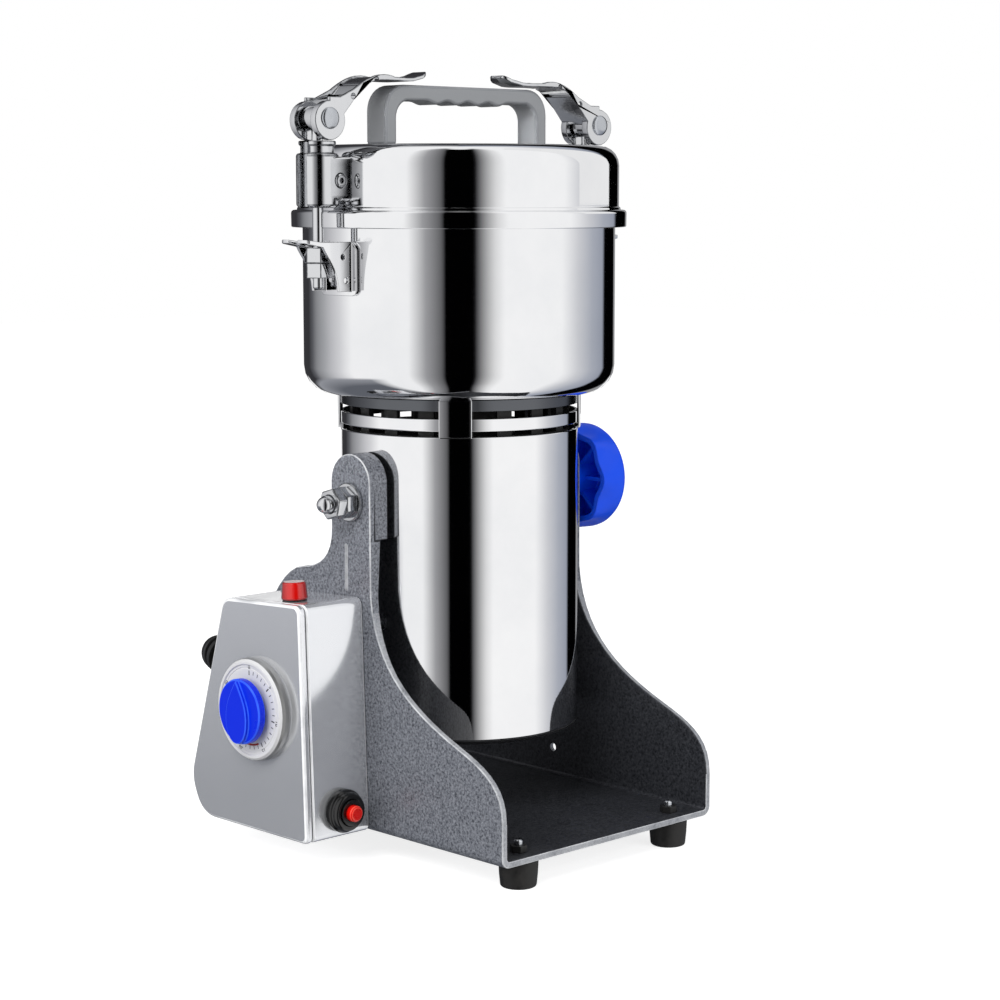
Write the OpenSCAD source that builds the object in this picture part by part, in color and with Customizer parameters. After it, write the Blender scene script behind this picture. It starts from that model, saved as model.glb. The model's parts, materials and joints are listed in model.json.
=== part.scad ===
// Electric grain mill that swings in a bent steel base.
// X runs along the swing axis, -Y is the open front of the base, +Z is up, millimetres.
// The origin is on the table, under the axis of the mill.

/* [Base frame] */
// Gap between the motor housing and a hub pad
swing_gap = 1.2; // [0.8:0.1:3]
// From the mill axis to the front edge
base_front = 100; // [92:1:120]
// From the mill axis to the back edge
base_back = 76; // [72:1:82]
// Thickness of the bent sheet
sheet_t = 3; // [2:0.5:4]
// Radius of the bend between floor and cheek, outside
bend_r = 4.5; // [4.2:0.5:8]
// Height of the swing axis over the table
pivot_z = 165; // [160:1:172]
// Half width of the hub at the top of a cheek
hub_r = 13.4; // [12:0.2:16]
// How far the hub rises over the swing axis
hub_rise = 22; // [19:1:26]
// Thickness of the hub pad
pad_t = 11; // [8:0.5:11.5]
// Thickness of the neck under the hub pad
neck_t = 6.5; // [4.5:0.5:8]

/* [Feet] */
// Height of a foot
foot_h = 12.5; // [9:0.5:20]
// Diameter of a foot
foot_d = 18; // [14:1:22]
// Distance of a foot from the side of the base
foot_side = 19; // [14:0.5:26]
// Distance of a foot from the front or back edge
foot_inset = 9.5; // [9:0.5:20]
// Thread diameter of the foot screws
foot_screw_d = 4; // [3:0.5:5]

/* [Swing bolts] */
// Diameter of the two swing bolts
stud_d = 8; // [6:0.5:9]
// Diameter of the washer
washer_d = 18; // [16:0.5:20]
// Across the flats of the swing nuts
stud_nut_af = 13; // [12:0.5:14]

/* [Lock knob] */
// Diameter over the lobes
knob_d = 52; // [44:1:58]
// Number of lobes
knob_lobes = 8; // [5:1:10]
// Depth of the hollows between lobes
lobe_depth = 2.2; // [1:0.2:4]
// Length of the knob along the swing axis
knob_len = 17; // [14:1:20]
// Wall of the knob
knob_wall = 3; // [2:0.5:4]

/* [Control box] */
// Depth of the box away from the cheek, cover included
box_depth = 37.5; // [34:0.5:44]
// Wall of the box
box_wall = 2; // [1.5:0.5:3]
// Thickness of the cover
cover_t = 3.6; // [3:0.2:5]
// Width of the dark joint between box and cover
joint_gap = 0.8; // [0.6:0.1:1.5]
// Clearance of plugged and sliding fits
fit_gap = 0.15; // [0.1:0.05:0.2]
// Height of the top front corner over the floor of the base
box_h = 109.5; // [104:0.5:114]

/* [Timer] */
// Diameter of the dial ring
dial_d = 47.5; // [42:0.5:50]
// How far the dial ring stands proud
dial_t = 5.6; // [4:0.2:8]
// Diameter of the timer knob
timer_knob_d = 30; // [26:0.5:32]
// Height of the disc of the timer knob
timer_disc_t = 5.4; // [4.4:0.2:7]
// Height of the grip on the disc
timer_grip_t = 1.8; // [1:0.2:4]
// Place of the dial along Y
dial_y = 22; // [20:0.5:24]
// Height of the dial centre
dial_z = 71.2; // [68:0.5:74]

/* [Breaker and lamp] */
// Diameter of the breaker nut
breaker_nut_d = 20; // [17:0.5:20.5]
// Diameter of the reset button
button_d = 7.5; // [6:0.5:8]
// Travel of the reset button
button_travel = 2.5; // [1.5:0.5:3]
// Diameter of the lamp lens
lamp_d = 12.2; // [10:0.2:13]
// Height of the lamp lens
lamp_h = 8; // [7:0.2:11]

/* [Mains cord] */
// Diameter of the cord
cord_d = 7.2; // [6:0.2:7.2]
// Outside diameter of the bend relief
boot_d = 20; // [17:0.5:21]
// Number of ribs on the bend relief
boot_ribs = 6; // [4:1:7]
// Loops in the put-away coil
coil_loops = 4; // [4:1:6]

/* [Motor housing] */
// Outside diameter of the motor housing
housing_d = 112.6; // [106:0.5:114]
// Wall of the housing
housing_wall = 1.5; // [1:0.1:2]
// From the swing axis down to the underside of the housing
housing_drop = 112; // [107:1:117]
// Length of the polished tube
housing_len = 140; // [138:0.5:143]

/* [Vent] */
// Height of the dark groove over the tube
vent_groove = 2.5; // [2:0.1:3]
// Height of the bright band
vent_band_h = 5.8; // [5:0.1:6.4]
// Height of the collar under the bowl
vent_collar_h = 5; // [3.5:0.1:5.5]
// Width of a post
post_w = 15; // [10:1:20]

/* [Bowl] */
// Outside diameter of the bowl
bowl_d = 146.6; // [144:0.2:148]
// Wall of the bowl
bowl_wall = 1.2; // [0.8:0.1:2]
// Height of the bowl from its underside to its rim
bowl_h = 81; // [78:0.5:84]
// Underside of the bowl over the swing axis
bowl_rise = 47; // [46:0.5:49]
// Outside radius of the bottom edge
bowl_corner = 13; // [8:0.5:16]

/* [Lid] */
// How far the wall of the lid stands outside the wall of the bowl
lid_step = 1.7; // [1.2:0.1:2.2]
// How far the clamping rim stands outside the wall of the lid
rim_step = 3.6; // [3:0.1:4.2]
// Height of the clamping rim
rim_h = 8; // [7:0.2:9]
// Height of the lid over the clamping rim
lid_h = 29.5; // [28.5:0.5:31]
// Radius of the top edge
lid_corner = 9; // [6:0.5:12]

/* [Handle] */
// Length over the two legs
handle_len = 103; // [96:1:106]
// Height over the lid
handle_h = 27; // [26:0.5:27]
// Width of the strap across the lid
handle_w = 13.5; // [11:0.5:16]
// Thickness of the strap
handle_t = 7; // [5.5:0.5:8]

/* [Latches] */
// Distance of a latch rod from the wall of the lid
latch_step = 11; // [10.6:0.2:12]
// Height of the latch pin over the top of the clamping rim
pin_rise = 40.5; // [40:0.5:41.5]
// Diameter of the latch pin
pin_d = 6; // [5:0.5:6]
// Largest radius of the lever cam
cam_r = 9.6; // [9:0.2:10]
// Lift of the cam between closed and open
cam_lift = 2; // [1:0.2:2.4]
// Turn of the lever between closed and open, degrees
cam_turn = 150; // [120:5:160]
// Width over the two cams
cam_w = 18; // [17:0.5:19]
// Diameter of the latch rod
rod_d = 5; // [4:0.5:5]
// Across the flats of the clamping nuts
clamp_nut_af = 11.5; // [10:0.5:12]
// Height of one clamping nut
clamp_nut_h = 6.8; // [5:0.2:7]
// Radius of the latch block
block_r = 9.5; // [9:0.1:9.8]

/* [Rotor] */
// Diameter of the motor shaft
shaft_d = 10; // [8:0.5:12]
// Swept diameter of the blades
blade_d = 126; // [110:1:134]
// Thickness of a blade
blade_t = 3; // [2:0.5:4]
// Width of a blade
blade_w = 22; // [16:1:26]
// Diameter of the armature
armature_d = 46; // [40:1:50]

/* [Hidden] */
$fn = 96;

// Gap of a pin or shaft that turns in a bore, on the radius
run = 0.05;
// Gap between faces of pieces that move past each other
slack = 0.3;
// Overshoot of a cutting solid
eps = 0.5;

floor_z = foot_h;
floor_top = foot_h + sheet_t;
hub_z = pivot_z + hub_rise - hub_r;
pad_z = pivot_z - 17;

housing_r = housing_d / 2;
housing_z = pivot_z - housing_drop;
pad_x = housing_r + swing_gap;
cheek_x = pad_x + pad_t;
tube_z = housing_z + 2.3;
tube_top = tube_z + housing_len;
band_z = tube_top + vent_groove;
bowl_z = pivot_z + bowl_rise;
collar_z = bowl_z - vent_collar_h;

bowl_r = bowl_d / 2;
bowl_floor_t = 1.5;
bowl_rim_z = bowl_z + bowl_h;
lip_t = 1.4;
lid_r = bowl_r + lid_step;
lid_t = 1.2;
rim_r = lid_r + rim_step;
latch_x = lid_r + latch_step;
gasket_t = 3;
rim_top = bowl_rim_z + gasket_t + lid_t;
rim_z = rim_top - rim_h;
lid_top = rim_top + lid_h;
handle_top = lid_top + handle_h;

pin_z = rim_top + pin_rise;
neck_top = pin_z - cam_r - 0.2;
block_z = rim_top + 1.2;
block_h = 24;
shelf_z = rim_top - 16;
nut_top = shelf_z - slack;
rod_tip = nut_top - 2 * clamp_nut_h - 5;
cam_rate = cam_lift / (cam_turn * PI / 180);

box_x = cheek_x;
box_out = cheek_x + box_depth;
tray_out = box_out - cover_t - joint_gap;
box_top = foot_h + box_h;

// Unit vector
function unit(v) = v / norm(v);
// Point on a cubic curve between a and d with handles b and c
function cubic(a, b, c, d, t) =
  a * pow(1 - t, 3) + b * 3 * t * pow(1 - t, 2) + c * 3 * t * t * (1 - t) + d * pow(t, 3);
// Points of a cubic curve, without its last point
function curve(a, b, c, d, n) = [for (i = [0:n - 1]) cubic(a, b, c, d, i / n)];
// Arc that rounds corner b between a and c
function round_corner(a, b, c, r, n) =
  let (u = unit(a - b), v = unit(c - b), half = acos(u * v) / 2, m = b + unit(u + v) * r / sin(half))
  let (p = b + u * r / tan(half) - m, turn = 180 - 2 * half)
  let (side = u[0] * v[1] - u[1] * v[0] > 0 ? -1 : 1)
  [for (i = [0:n]) let (w = side * turn * i / n) m + [p[0] * cos(w) - p[1] * sin(w), p[0] * sin(w) + p[1] * cos(w)]];
// Closed outline from corners [x, y, radius]
function rounded(pts, n = 6) =
  let (k = len(pts))
  [for (i = [0:k - 1])
    let (a = pts[(i + k - 1) % k], b = pts[i], c = pts[(i + 1) % k])
    each (b[2] > 0
      ? round_corner([a[0], a[1]], [b[0], b[1]], [c[0], c[1]], b[2], n)
      : [[b[0], b[1]]])];
// Circle arc from angle a to angle b
function arc(cx, cy, r, a, b, n) = [for (i = [0:n]) let (w = a + (b - a) * i / n) [cx + r * cos(w), cy + r * sin(w)]];

// Extrude a [Y, Z] outline along X
module along_x(x0, x1) {
  translate([x0, 0, 0]) rotate([90, 0, 90]) linear_extrude(x1 - x0) children();
}
// Extrude an [X, Z] outline along Y
module along_y(y0, y1) {
  translate([0, y1, 0]) rotate([90, 0, 0]) linear_extrude(y1 - y0) children();
}
// Rod along X
module rod_x(x0, x1, d, y = 0, z = 0) {
  translate([x0, y, z]) rotate([0, 90, 0]) cylinder(h = x1 - x0, d = d);
}
// Rod along Y
module rod_y(y0, y1, d, x = 0, z = 0) {
  translate([x, y0, z]) rotate([-90, 0, 0]) cylinder(h = y1 - y0, d = d);
}
// Rod along Z
module rod_z(z0, z1, d, x = 0, y = 0) {
  translate([x, y, z0]) cylinder(h = z1 - z0, d = d);
}
// Box from corner to corner
module block(a, b) {
  translate(a) cube(b - a);
}
// Hexagon nut along Z with a bore
module hex_nut(af, h, bore) {
  difference() {
    cylinder(h = h, d = af / cos(30), $fn = 6);
    translate([0, 0, -eps]) cylinder(h = h + 2 * eps, d = bore);
  }
}
// Mirror a right-hand piece to the left when side is -1
module on_side(side) {
  mirror([side < 0 ? 1 : 0, 0, 0]) children();
}

// Outline of a cheek, [Y, Z], clockwise from the front edge over the hub to the back
cheek_front_r = 33;
cheek_outline = concat(
  [[-base_front, floor_z + 2 * bend_r]],
  curve([-base_front, floor_z + 20], [-base_front, floor_z + 39], [-base_front + 16, floor_z + 44],
        [-66, floor_z + 51.5], 10),
  curve([-66, floor_z + 51.5], [-38, floor_z + 63.5], [-hub_r, pivot_z - 73], [-hub_r, pivot_z - 35], 14),
  arc(0, hub_z, hub_r, 180, 0, 24),
  curve([hub_r, pivot_z - 13], [hub_r, pivot_z - 27], [22, pivot_z - 32], [35, pivot_z - 33.5], 8),
  curve([35, pivot_z - 33.5], [50, pivot_z - 35], [66, pivot_z - 57], [base_back - 3, pivot_z - 95], 10),
  curve([base_back - 3, pivot_z - 95], [base_back, pivot_z - 110], [base_back, floor_z + 26],
        [base_back, floor_z + 20], 4),
  [[base_back, floor_z + 2 * bend_r]]
);
pad_outline = concat(arc(0, hub_z, hub_r, 180, 0, 24), [[hub_r, pad_z], [-hub_r, pad_z]]);

module cheek() {
  difference() {
    union() {
      along_x(cheek_x - sheet_t, cheek_x) polygon(cheek_outline);
      along_x(pad_x, cheek_x) polygon(pad_outline);
      intersection() {
        along_x(cheek_x - neck_t, cheek_x) polygon(cheek_outline);
        along_y(-base_front, base_back)
          polygon([[cheek_x, pad_z], [cheek_x - neck_t, pad_z], [cheek_x - sheet_t + 0.1, pad_z - 62],
                   [cheek_x, pad_z - 62]]);
      }
      // Short stiffening rib on the outer face
      along_x(cheek_x - 1, cheek_x + 0.8) polygon(rounded([[2.4, pivot_z - 41, 0.5], [2.4, pivot_z - 20, 0.5],
        [3.8, pivot_z - 20, 0.5], [3.8, pivot_z - 41, 0.5]], 3));
    }
    rod_x(pad_x - eps, cheek_x + eps, stud_d + 2 * run, 0, pivot_z);
    for (p = box_screw_at) rod_x(cheek_x - pad_t - eps, cheek_x + eps, box_screw_d + 2 * run, p[0], p[1]);
  }
}

module base_frame() color([0.3, 0.31, 0.33]) {
  difference() {
    union() {
      // Floor with the two bends
      along_y(-base_front, base_back) polygon(concat(
        arc(-cheek_x + bend_r, floor_z + bend_r, bend_r, 180, 270, 8),
        arc(cheek_x - bend_r, floor_z + bend_r, bend_r, 270, 360, 8),
        [[cheek_x, floor_z + 2 * bend_r], [cheek_x - sheet_t, floor_z + 2 * bend_r]],
        arc(cheek_x - bend_r, floor_z + bend_r, bend_r - sheet_t, 360, 270, 6),
        arc(-cheek_x + bend_r, floor_z + bend_r, bend_r - sheet_t, 270, 180, 6),
        [[-cheek_x + sheet_t, floor_z + 2 * bend_r], [-cheek_x, floor_z + 2 * bend_r]]
      ));
      cheek();
      mirror([1, 0, 0]) cheek();
    }
    for (p = foot_at) rod_z(floor_z - eps, floor_top + eps, foot_screw_d + 2 * run, p[0], p[1]);
  }
}

// Places of the feet, [X, Y]
foot_at = [for (x = [foot_side - cheek_x, cheek_x - foot_side], y = [-base_front + foot_inset, base_back - foot_inset]) [x, y]];
foot_well = 6;

module rubber_feet() color([0.05, 0.05, 0.05])
  for (p = foot_at) translate([p[0], p[1], 0]) rotate_extrude() polygon([
    [foot_screw_d + 0.6, 0], [foot_d / 2 - 2.2, 0], [foot_d / 2 - 1.2, 0.9], [foot_d / 2 - 0.4, foot_h * 0.5],
    [foot_d / 2, foot_h], [foot_screw_d / 2 + run, foot_h], [foot_screw_d / 2 + run, foot_well],
    [foot_screw_d + 0.6, foot_well]]);

module foot_screws() color("silver")
  for (p = foot_at) translate([p[0], p[1], 0]) rotate_extrude() polygon([
    [0, foot_well - 2.6], [foot_screw_d - 1, foot_well - 2.6], [foot_screw_d, foot_well - 1.4],
    [foot_screw_d, foot_well], [foot_screw_d / 2, foot_well], [foot_screw_d / 2, floor_top + 5],
    [foot_screw_d / 2 - 0.6, floor_top + 5.6], [0, floor_top + 5.6]]);

module foot_nuts() color("silver")
  for (p = foot_at) translate([p[0], p[1], floor_top]) hex_nut(foot_screw_d * 1.75, foot_screw_d * 0.8,
    foot_screw_d + 2 * run);

// Control box: corners of its side outline, [Y, Z, radius]
box_corners = [[-12, floor_z + 0.8, 3], [-8, box_top, 4], [47.5, box_top - 2.5, 7], [74, floor_z + 18, 18],
  [66, floor_z + 0.8, 14]];
box_outline = rounded(box_corners);
box_slope = atan(2.5 / 55.5);
// Screws that hold the box to the cheek, [Y, Z]
box_screw_at = [[-2, box_top - 15], [36, box_top - 12], [2, floor_z + 16], [56, floor_z + 18]];
box_screw_d = 4;

// Breaker hole in the front wall and lamp hole in the top wall
breaker_x = -(box_out - 21);
breaker_z = floor_z + 13.5;
breaker_neck_d = 12;
breaker_proud = 8;
button_proud = 3.2;
lamp_x = -(box_out - 12.5);
lamp_y = 10;
lamp_hole_d = 7;
lamp_ring_t = 0.7;
boot_x = -(box_out - 15);
boot_z = box_top - 36.5;
boot_neck_d = 12;

// Front wall and back wall of the box as functions of height
function wall_y(a, b, z) = a[0] + (b[0] - a[0]) * (z - a[1]) / (b[1] - a[1]);
function front_y(z) = wall_y(box_corners[0], box_corners[1], z);
function back_y(z) = wall_y(box_corners[2], box_corners[3], z);
boot_y = back_y(boot_z);
// Angle of the back wall's outward normal over the horizontal
boot_tip = atan((box_corners[3][0] - box_corners[2][0]) / (box_corners[2][1] - box_corners[3][1]));

// Outline of the box drawn in by d
function drawn_in(d) = let (c = box_corners)
  rounded([[c[0][0] + d, c[0][1] + d, 2.5], [c[1][0] + d, c[1][1] - d, 3], [c[2][0] - d, c[2][1] - d, 5.5],
    [c[3][0] - d, c[3][1] + d * 0.3, 17], [c[4][0] - d * 0.4, c[4][1] + d, 13]]);

module lamp_place() {
  translate([lamp_x, lamp_y, box_top - (lamp_y + 8) * tan(box_slope)]) rotate([-box_slope, 0, 0]) children();
}
module boot_place() {
  translate([boot_x, boot_y, boot_z]) rotate([boot_tip, 0, 0]) children();
}

module control_box_body() color([0.62, 0.63, 0.66])
  difference() {
    along_x(-tray_out, -box_x) polygon(box_outline);
    along_x(-tray_out - eps, -box_x - box_wall) polygon(drawn_in(box_wall));
    rod_y(-20, 0, breaker_neck_d + 2 * run, breaker_x, breaker_z);
    lamp_place() rod_z(-10, 5, lamp_hole_d + 2 * run);
    boot_place() rod_y(-8, 5, boot_neck_d + 2 * run);
    for (p = box_screw_at) rod_x(-box_x - box_wall - eps, -box_x + eps, box_screw_d + 2 * run, p[0], p[1]);
  }

module control_box_cover() color([0.64, 0.65, 0.68])
  difference() {
    union() {
      along_x(-box_out + 1.3, -box_out + cover_t) polygon(box_outline);
      // Rounded outer edge in two steps
      hull() {
        along_x(-box_out + 1.29, -box_out + 1.3) polygon(box_outline);
        along_x(-box_out + 0.4, -box_out + 0.41) polygon(drawn_in(0.4));
      }
      hull() {
        along_x(-box_out + 0.4, -box_out + 0.41) polygon(drawn_in(0.4));
        along_x(-box_out, -box_out + 0.01) polygon(drawn_in(1.3));
      }
      // Recessed joint and the skirt that plugs into the box
      along_x(-box_out + cover_t - 0.2, -tray_out) polygon(drawn_in(0.9));
      along_x(-tray_out - 0.1, -tray_out + 3) polygon(drawn_in(box_wall + fit_gap));
    }
    along_x(-tray_out - 0.3, -tray_out + 4) polygon(drawn_in(box_wall + 1.8));
    rod_x(-box_out - eps, -tray_out + eps, timer_neck_d + 2 * run, dial_y, dial_z);
  }

module box_screws() color("silver")
  for (p = box_screw_at) {
    translate([-box_x - box_wall, p[0], p[1]]) rotate([0, -90, 0]) rotate_extrude()
      polygon([[0, 0], [box_screw_d, 0], [box_screw_d, 1.4], [box_screw_d - 1, 2.4], [0, 2.4]]);
    rod_x(-box_x - box_wall - 0.1, -box_x + screw_grip(p) + 5, box_screw_d, p[0], p[1]);
    translate([-box_x + screw_grip(p), p[0], p[1]]) rotate([0, 90, 0])
      hex_nut(box_screw_d * 1.75, box_screw_d * 0.8, box_screw_d - 0.4);
  }
// Thickness of the cheek at a box screw
function screw_grip(p) = sheet_t + 0.1 + max(0, (p[1] + 4 - pad_z + 62) / 62 * (neck_t - sheet_t));

// Timer
timer_neck_d = 10;
timer_shaft_d = 6;
timer_r = 20;
dial_out = box_out + dial_t;
// How far the shaft reaches into the knob
shaft_reach = timer_disc_t - 2.4;

module timer_body() color([0.75, 0.73, 0.66])
  difference() {
    union() {
      rod_x(-tray_out, -tray_out + 20, 2 * timer_r, dial_y, dial_z);
      rod_x(-box_out - 1.5, -tray_out + 1, timer_neck_d, dial_y, dial_z);
      // Two terminal tabs at the back
      for (y = [-8, 8]) block([-tray_out + 19.5, dial_y + y - 3.2, dial_z - 0.4],
        [-tray_out + 26, dial_y + y + 3.2, dial_z + 0.4]);
    }
    rod_x(-box_out - 2, -tray_out + 14, timer_shaft_d + 2 * run, dial_y, dial_z);
  }

// Ring with a raised rim and a recessed scale
module timer_bezel() color([0.8, 0.81, 0.83])
  translate([-box_out, dial_y, dial_z]) rotate([0, -90, 0]) rotate_extrude() polygon([
    [timer_neck_d / 2 + run, 0], [dial_d / 2, 0], [dial_d / 2, dial_t - 2], [dial_d / 2 - 0.5, dial_t - 0.8],
    [dial_d / 2 - 1.7, dial_t], [dial_d / 2 - 2.6, dial_t], [dial_d / 2 - 3, dial_t - 0.7],
    [timer_neck_d / 2 + run, dial_t - 0.7]]);

module timer_shaft() color("silver")
  rod_x(-dial_out - shaft_reach, -tray_out + 13, timer_shaft_d, dial_y, dial_z);

// Disc with a grip shaped like a drop that points up
grip_half = 7.4;
grip_outline = let (r = timer_knob_d / 2 - 0.4)
  concat(curve([0, r], [grip_half * 0.7, r * 0.45], [grip_half, r * 0.2], [grip_half, -r * 0.25], 8),
         curve([grip_half, -r * 0.25], [grip_half, -r * 0.7], [grip_half * 0.6, -r], [0, -r], 6),
         curve([0, -r], [-grip_half * 0.6, -r], [-grip_half, -r * 0.7], [-grip_half, -r * 0.25], 6),
         curve([-grip_half, -r * 0.25], [-grip_half, r * 0.2], [-grip_half * 0.7, r * 0.45], [0, r], 8));
knob_back = dial_out + slack;

module timer_knob() color([0.03, 0.22, 0.9])
  difference() {
    union() {
      translate([-knob_back, dial_y, dial_z]) rotate([0, -90, 0]) rotate_extrude() polygon([
        [0, 0], [timer_knob_d / 2 - 3, 0], [timer_knob_d / 2 - 2.6, 1.2], [timer_knob_d / 2, 1.6],
        [timer_knob_d / 2, timer_disc_t - 0.8], [timer_knob_d / 2 - 0.3, timer_disc_t - 0.2],
        [timer_knob_d / 2 - 1, timer_disc_t], [0, timer_disc_t]]);
      translate([-knob_back - timer_disc_t - timer_grip_t, dial_y, dial_z]) rotate([90, 0, 90])
        linear_extrude(timer_grip_t + 1) polygon(grip_outline);
    }
    rod_x(-dial_out - shaft_reach - 0.6, -knob_back + eps, timer_shaft_d + 2 * run, dial_y, dial_z);
  }

// Thermal breaker: neck through the front wall, nut outside, push button in the neck
breaker_face = front_y(breaker_z);
module breaker_body() color([0.06, 0.06, 0.06])
  difference() {
    union() {
      rod_y(breaker_face - breaker_proud, breaker_face + box_wall + 2, breaker_neck_d, breaker_x, breaker_z);
      block([breaker_x - 8, breaker_face + box_wall + 0.7, breaker_z - 9],
            [breaker_x + 8, breaker_face + box_wall + 27, breaker_z + 9]);
    }
    rod_y(breaker_face - breaker_proud - 1, breaker_face + 6 + button_travel, button_d + 2 * run, breaker_x,
      breaker_z);
  }

module breaker_nut() color([0.05, 0.05, 0.05])
  translate([breaker_x, breaker_face - 0.4, breaker_z]) rotate([90, 0, 0]) rotate_extrude() polygon([
    [breaker_neck_d / 2 + run, 0], [breaker_nut_d / 2 - 0.4, 0], [breaker_nut_d / 2, 0.6], [breaker_nut_d / 2, 3],
    [breaker_nut_d / 2 - 1, 4], [breaker_nut_d / 2 - 1.2, 5.4], [breaker_nut_d / 2 - 2, 6.6],
    [breaker_neck_d / 2 + run, 6.6]]);

module breaker_button() color([0.85, 0.1, 0.08])
  translate([breaker_x, breaker_face - breaker_proud - button_proud, breaker_z]) rotate([-90, 0, 0])
    rotate_extrude() polygon([[0, 0], [button_d / 2 - 0.8, 0], [button_d / 2, 0.8],
      [button_d / 2, breaker_proud + button_proud + 6 - slack], [0, breaker_proud + button_proud + 6 - slack]]);

module lamp_base() color([0.75, 0.76, 0.78])
  lamp_place() difference() {
    union() {
      rod_z(-9, 0.5, lamp_hole_d);
      rod_z(0.05, lamp_ring_t, lamp_d - 1);
    }
    rod_z(-10, -2, 4);
  }

module lamp_lens() color([0.8, 0.06, 0.05])
  lamp_place() translate([0, 0, lamp_ring_t]) rotate_extrude() polygon([
    [0, 0], [lamp_d / 2 - 0.9, 0], [lamp_d / 2 - 0.5, 0.6], [lamp_d / 2, lamp_h - 1.6],
    [lamp_d / 2 - 0.4, lamp_h - 0.6], [lamp_d / 2 - 1.4, lamp_h], [0, lamp_h]]);

// Bend relief: a ribbed elbow that leaves the back wall and turns down behind the box
boot_bend = 30;
boot_turn = 74;
boot_core_d = cord_d + 4.4;
// The elbow bends in a plane that leans in behind the mill
boot_lean = -50;
module on_elbow(w) {
  boot_place() rotate([0, boot_lean, 0]) translate([0, 0, -boot_bend]) rotate([-w, 0, 0])
    translate([0, 0, boot_bend]) children();
}
module strain_relief() color([0.04, 0.04, 0.04])
  union() {
    boot_place() rod_y(-box_wall - 2.6, 0.5, boot_neck_d);
    boot_place() rod_y(-box_wall - 4.6, -box_wall - 0.5, boot_neck_d + 2.4);
    boot_place() rotate([0, boot_lean, 0]) translate([0, 0, -boot_bend]) rotate([90 - boot_turn, 0, 0])
      rotate([90, 0, 90]) rotate_extrude(angle = boot_turn) translate([boot_bend, 0]) circle(d = boot_core_d);
    for (i = [0:boot_ribs]) on_elbow(7 + (boot_turn - 11.5) * i / boot_ribs)
      rod_y(-1.3, 1.3, boot_d - (boot_d - boot_core_d - 2) * i / boot_ribs);
  }

// Where the elbow ends, as a point and a direction
function turn_x(v, a) = [v[0], v[1] * cos(a) - v[2] * sin(a), v[1] * sin(a) + v[2] * cos(a)];
function turn_y(v, a) = [v[0] * cos(a) + v[2] * sin(a), v[1], -v[0] * sin(a) + v[2] * cos(a)];
function elbow(v, w) = [boot_x, boot_y, boot_z]
  + turn_x(turn_y(turn_x(v + [0, 0, boot_bend], -w) - [0, 0, boot_bend], boot_lean), boot_tip);
cord_exit = elbow([0, 0.3, 0], boot_turn);
cord_heading = unit(elbow([0, 1, 0], boot_turn) - elbow([0, 0, 0], boot_turn));

// Put-away coil behind the mill: place, mid radius and pitch
coil_at = [44, 134];
coil_pitch = cord_d + 0.6;
coil_r = 38.4;
coil_z = cord_d / 2 + 0.05;
coil_in = coil_r - coil_pitch * (coil_loops - 0.5) / 4;
coil_out = coil_r + coil_pitch * (coil_loops - 0.5) / 4;
cord_land = coil_at[1] - coil_out;

// Route of the free stretch, [X, Y, Z]
cord_route = [
  cord_exit,
  cord_exit + cord_heading * cord_d / 2,
  cord_exit + cord_heading * cord_d,
  [-62.6, 96.3, 70.7],
  [-57.8, 99.1, 63.3],
  [-54.8, 100.9, 54.7],
  [-53.7, 101.5, 45],
  [-53.5, 101.4, 35],
  [-51.3, 100.8, 25.5],
  [-46.2, 99.4, 16.6],
  [-38.6, 97.4, 9.6],
  [-29.2, 94.9, 5.2],
  [-18.8, 92.1, 3.75],
  [-6, 89.6, coil_z],
  [8, cord_land, coil_z],
  [coil_at[0] - 2 * cord_d, cord_land, coil_z],
  [coil_at[0] - cord_d, cord_land, coil_z]
];
// Smooth curve through the route
function spline(p, i, t) =
  let (k = len(p) - 1, a = p[max(i - 1, 0)], b = p[i], c = p[i + 1], d = p[min(i + 2, k)])
  0.5 * (2 * b + (c - a) * t + (2 * a - 5 * b + 4 * c - d) * t * t + (3 * b - a - 3 * c + d) * pow(t, 3));
cord_steps = 2;
cord_path = concat([for (i = [0:len(cord_route) - 2], j = [0:cord_steps - 1]) spline(cord_route, i, j / cord_steps)],
  [cord_route[len(cord_route) - 1]]);

// Tube swept along points: rings square to the path, kept level by the vertical
function ring_at(p, i, d, sides) =
  let (k = len(p) - 1, t = unit(p[min(i + 1, k)] - p[max(i - 1, 0)]))
  let (s = unit(cross(t, [0, 0, 1])), u = cross(s, t))
  [for (j = [0:sides - 1]) let (w = 360 * (j + 0.5) / sides) p[i] + (s * cos(w) + u * sin(w)) * d / 2];
module tube(p, d, sides) {
  n = len(p);
  polyhedron(
    points = [for (i = [0:n - 1]) each ring_at(p, i, d, sides)],
    faces = concat(
      [for (i = [0:n - 2], j = [0:sides - 1]) let (a = i * sides, b = a + sides, m = (j + 1) % sides)
        each [[a + j, b + m, b + j], [a + j, a + m, b + m]]],
      [for (j = [1:sides - 2]) each [[0, j + 1, j], [(n - 1) * sides, (n - 1) * sides + j, (n - 1) * sides + j + 1]]]
    ),
    convexity = 10);
}
module mains_cord() color([0.04, 0.04, 0.04]) tube(cord_path, cord_d, 10);

// Coil: in on the floor, up a layer while it reverses, out again on top
coil_half = (coil_loops * 360 - 180) / 2;
coil_steps = coil_loops * 24;
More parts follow.
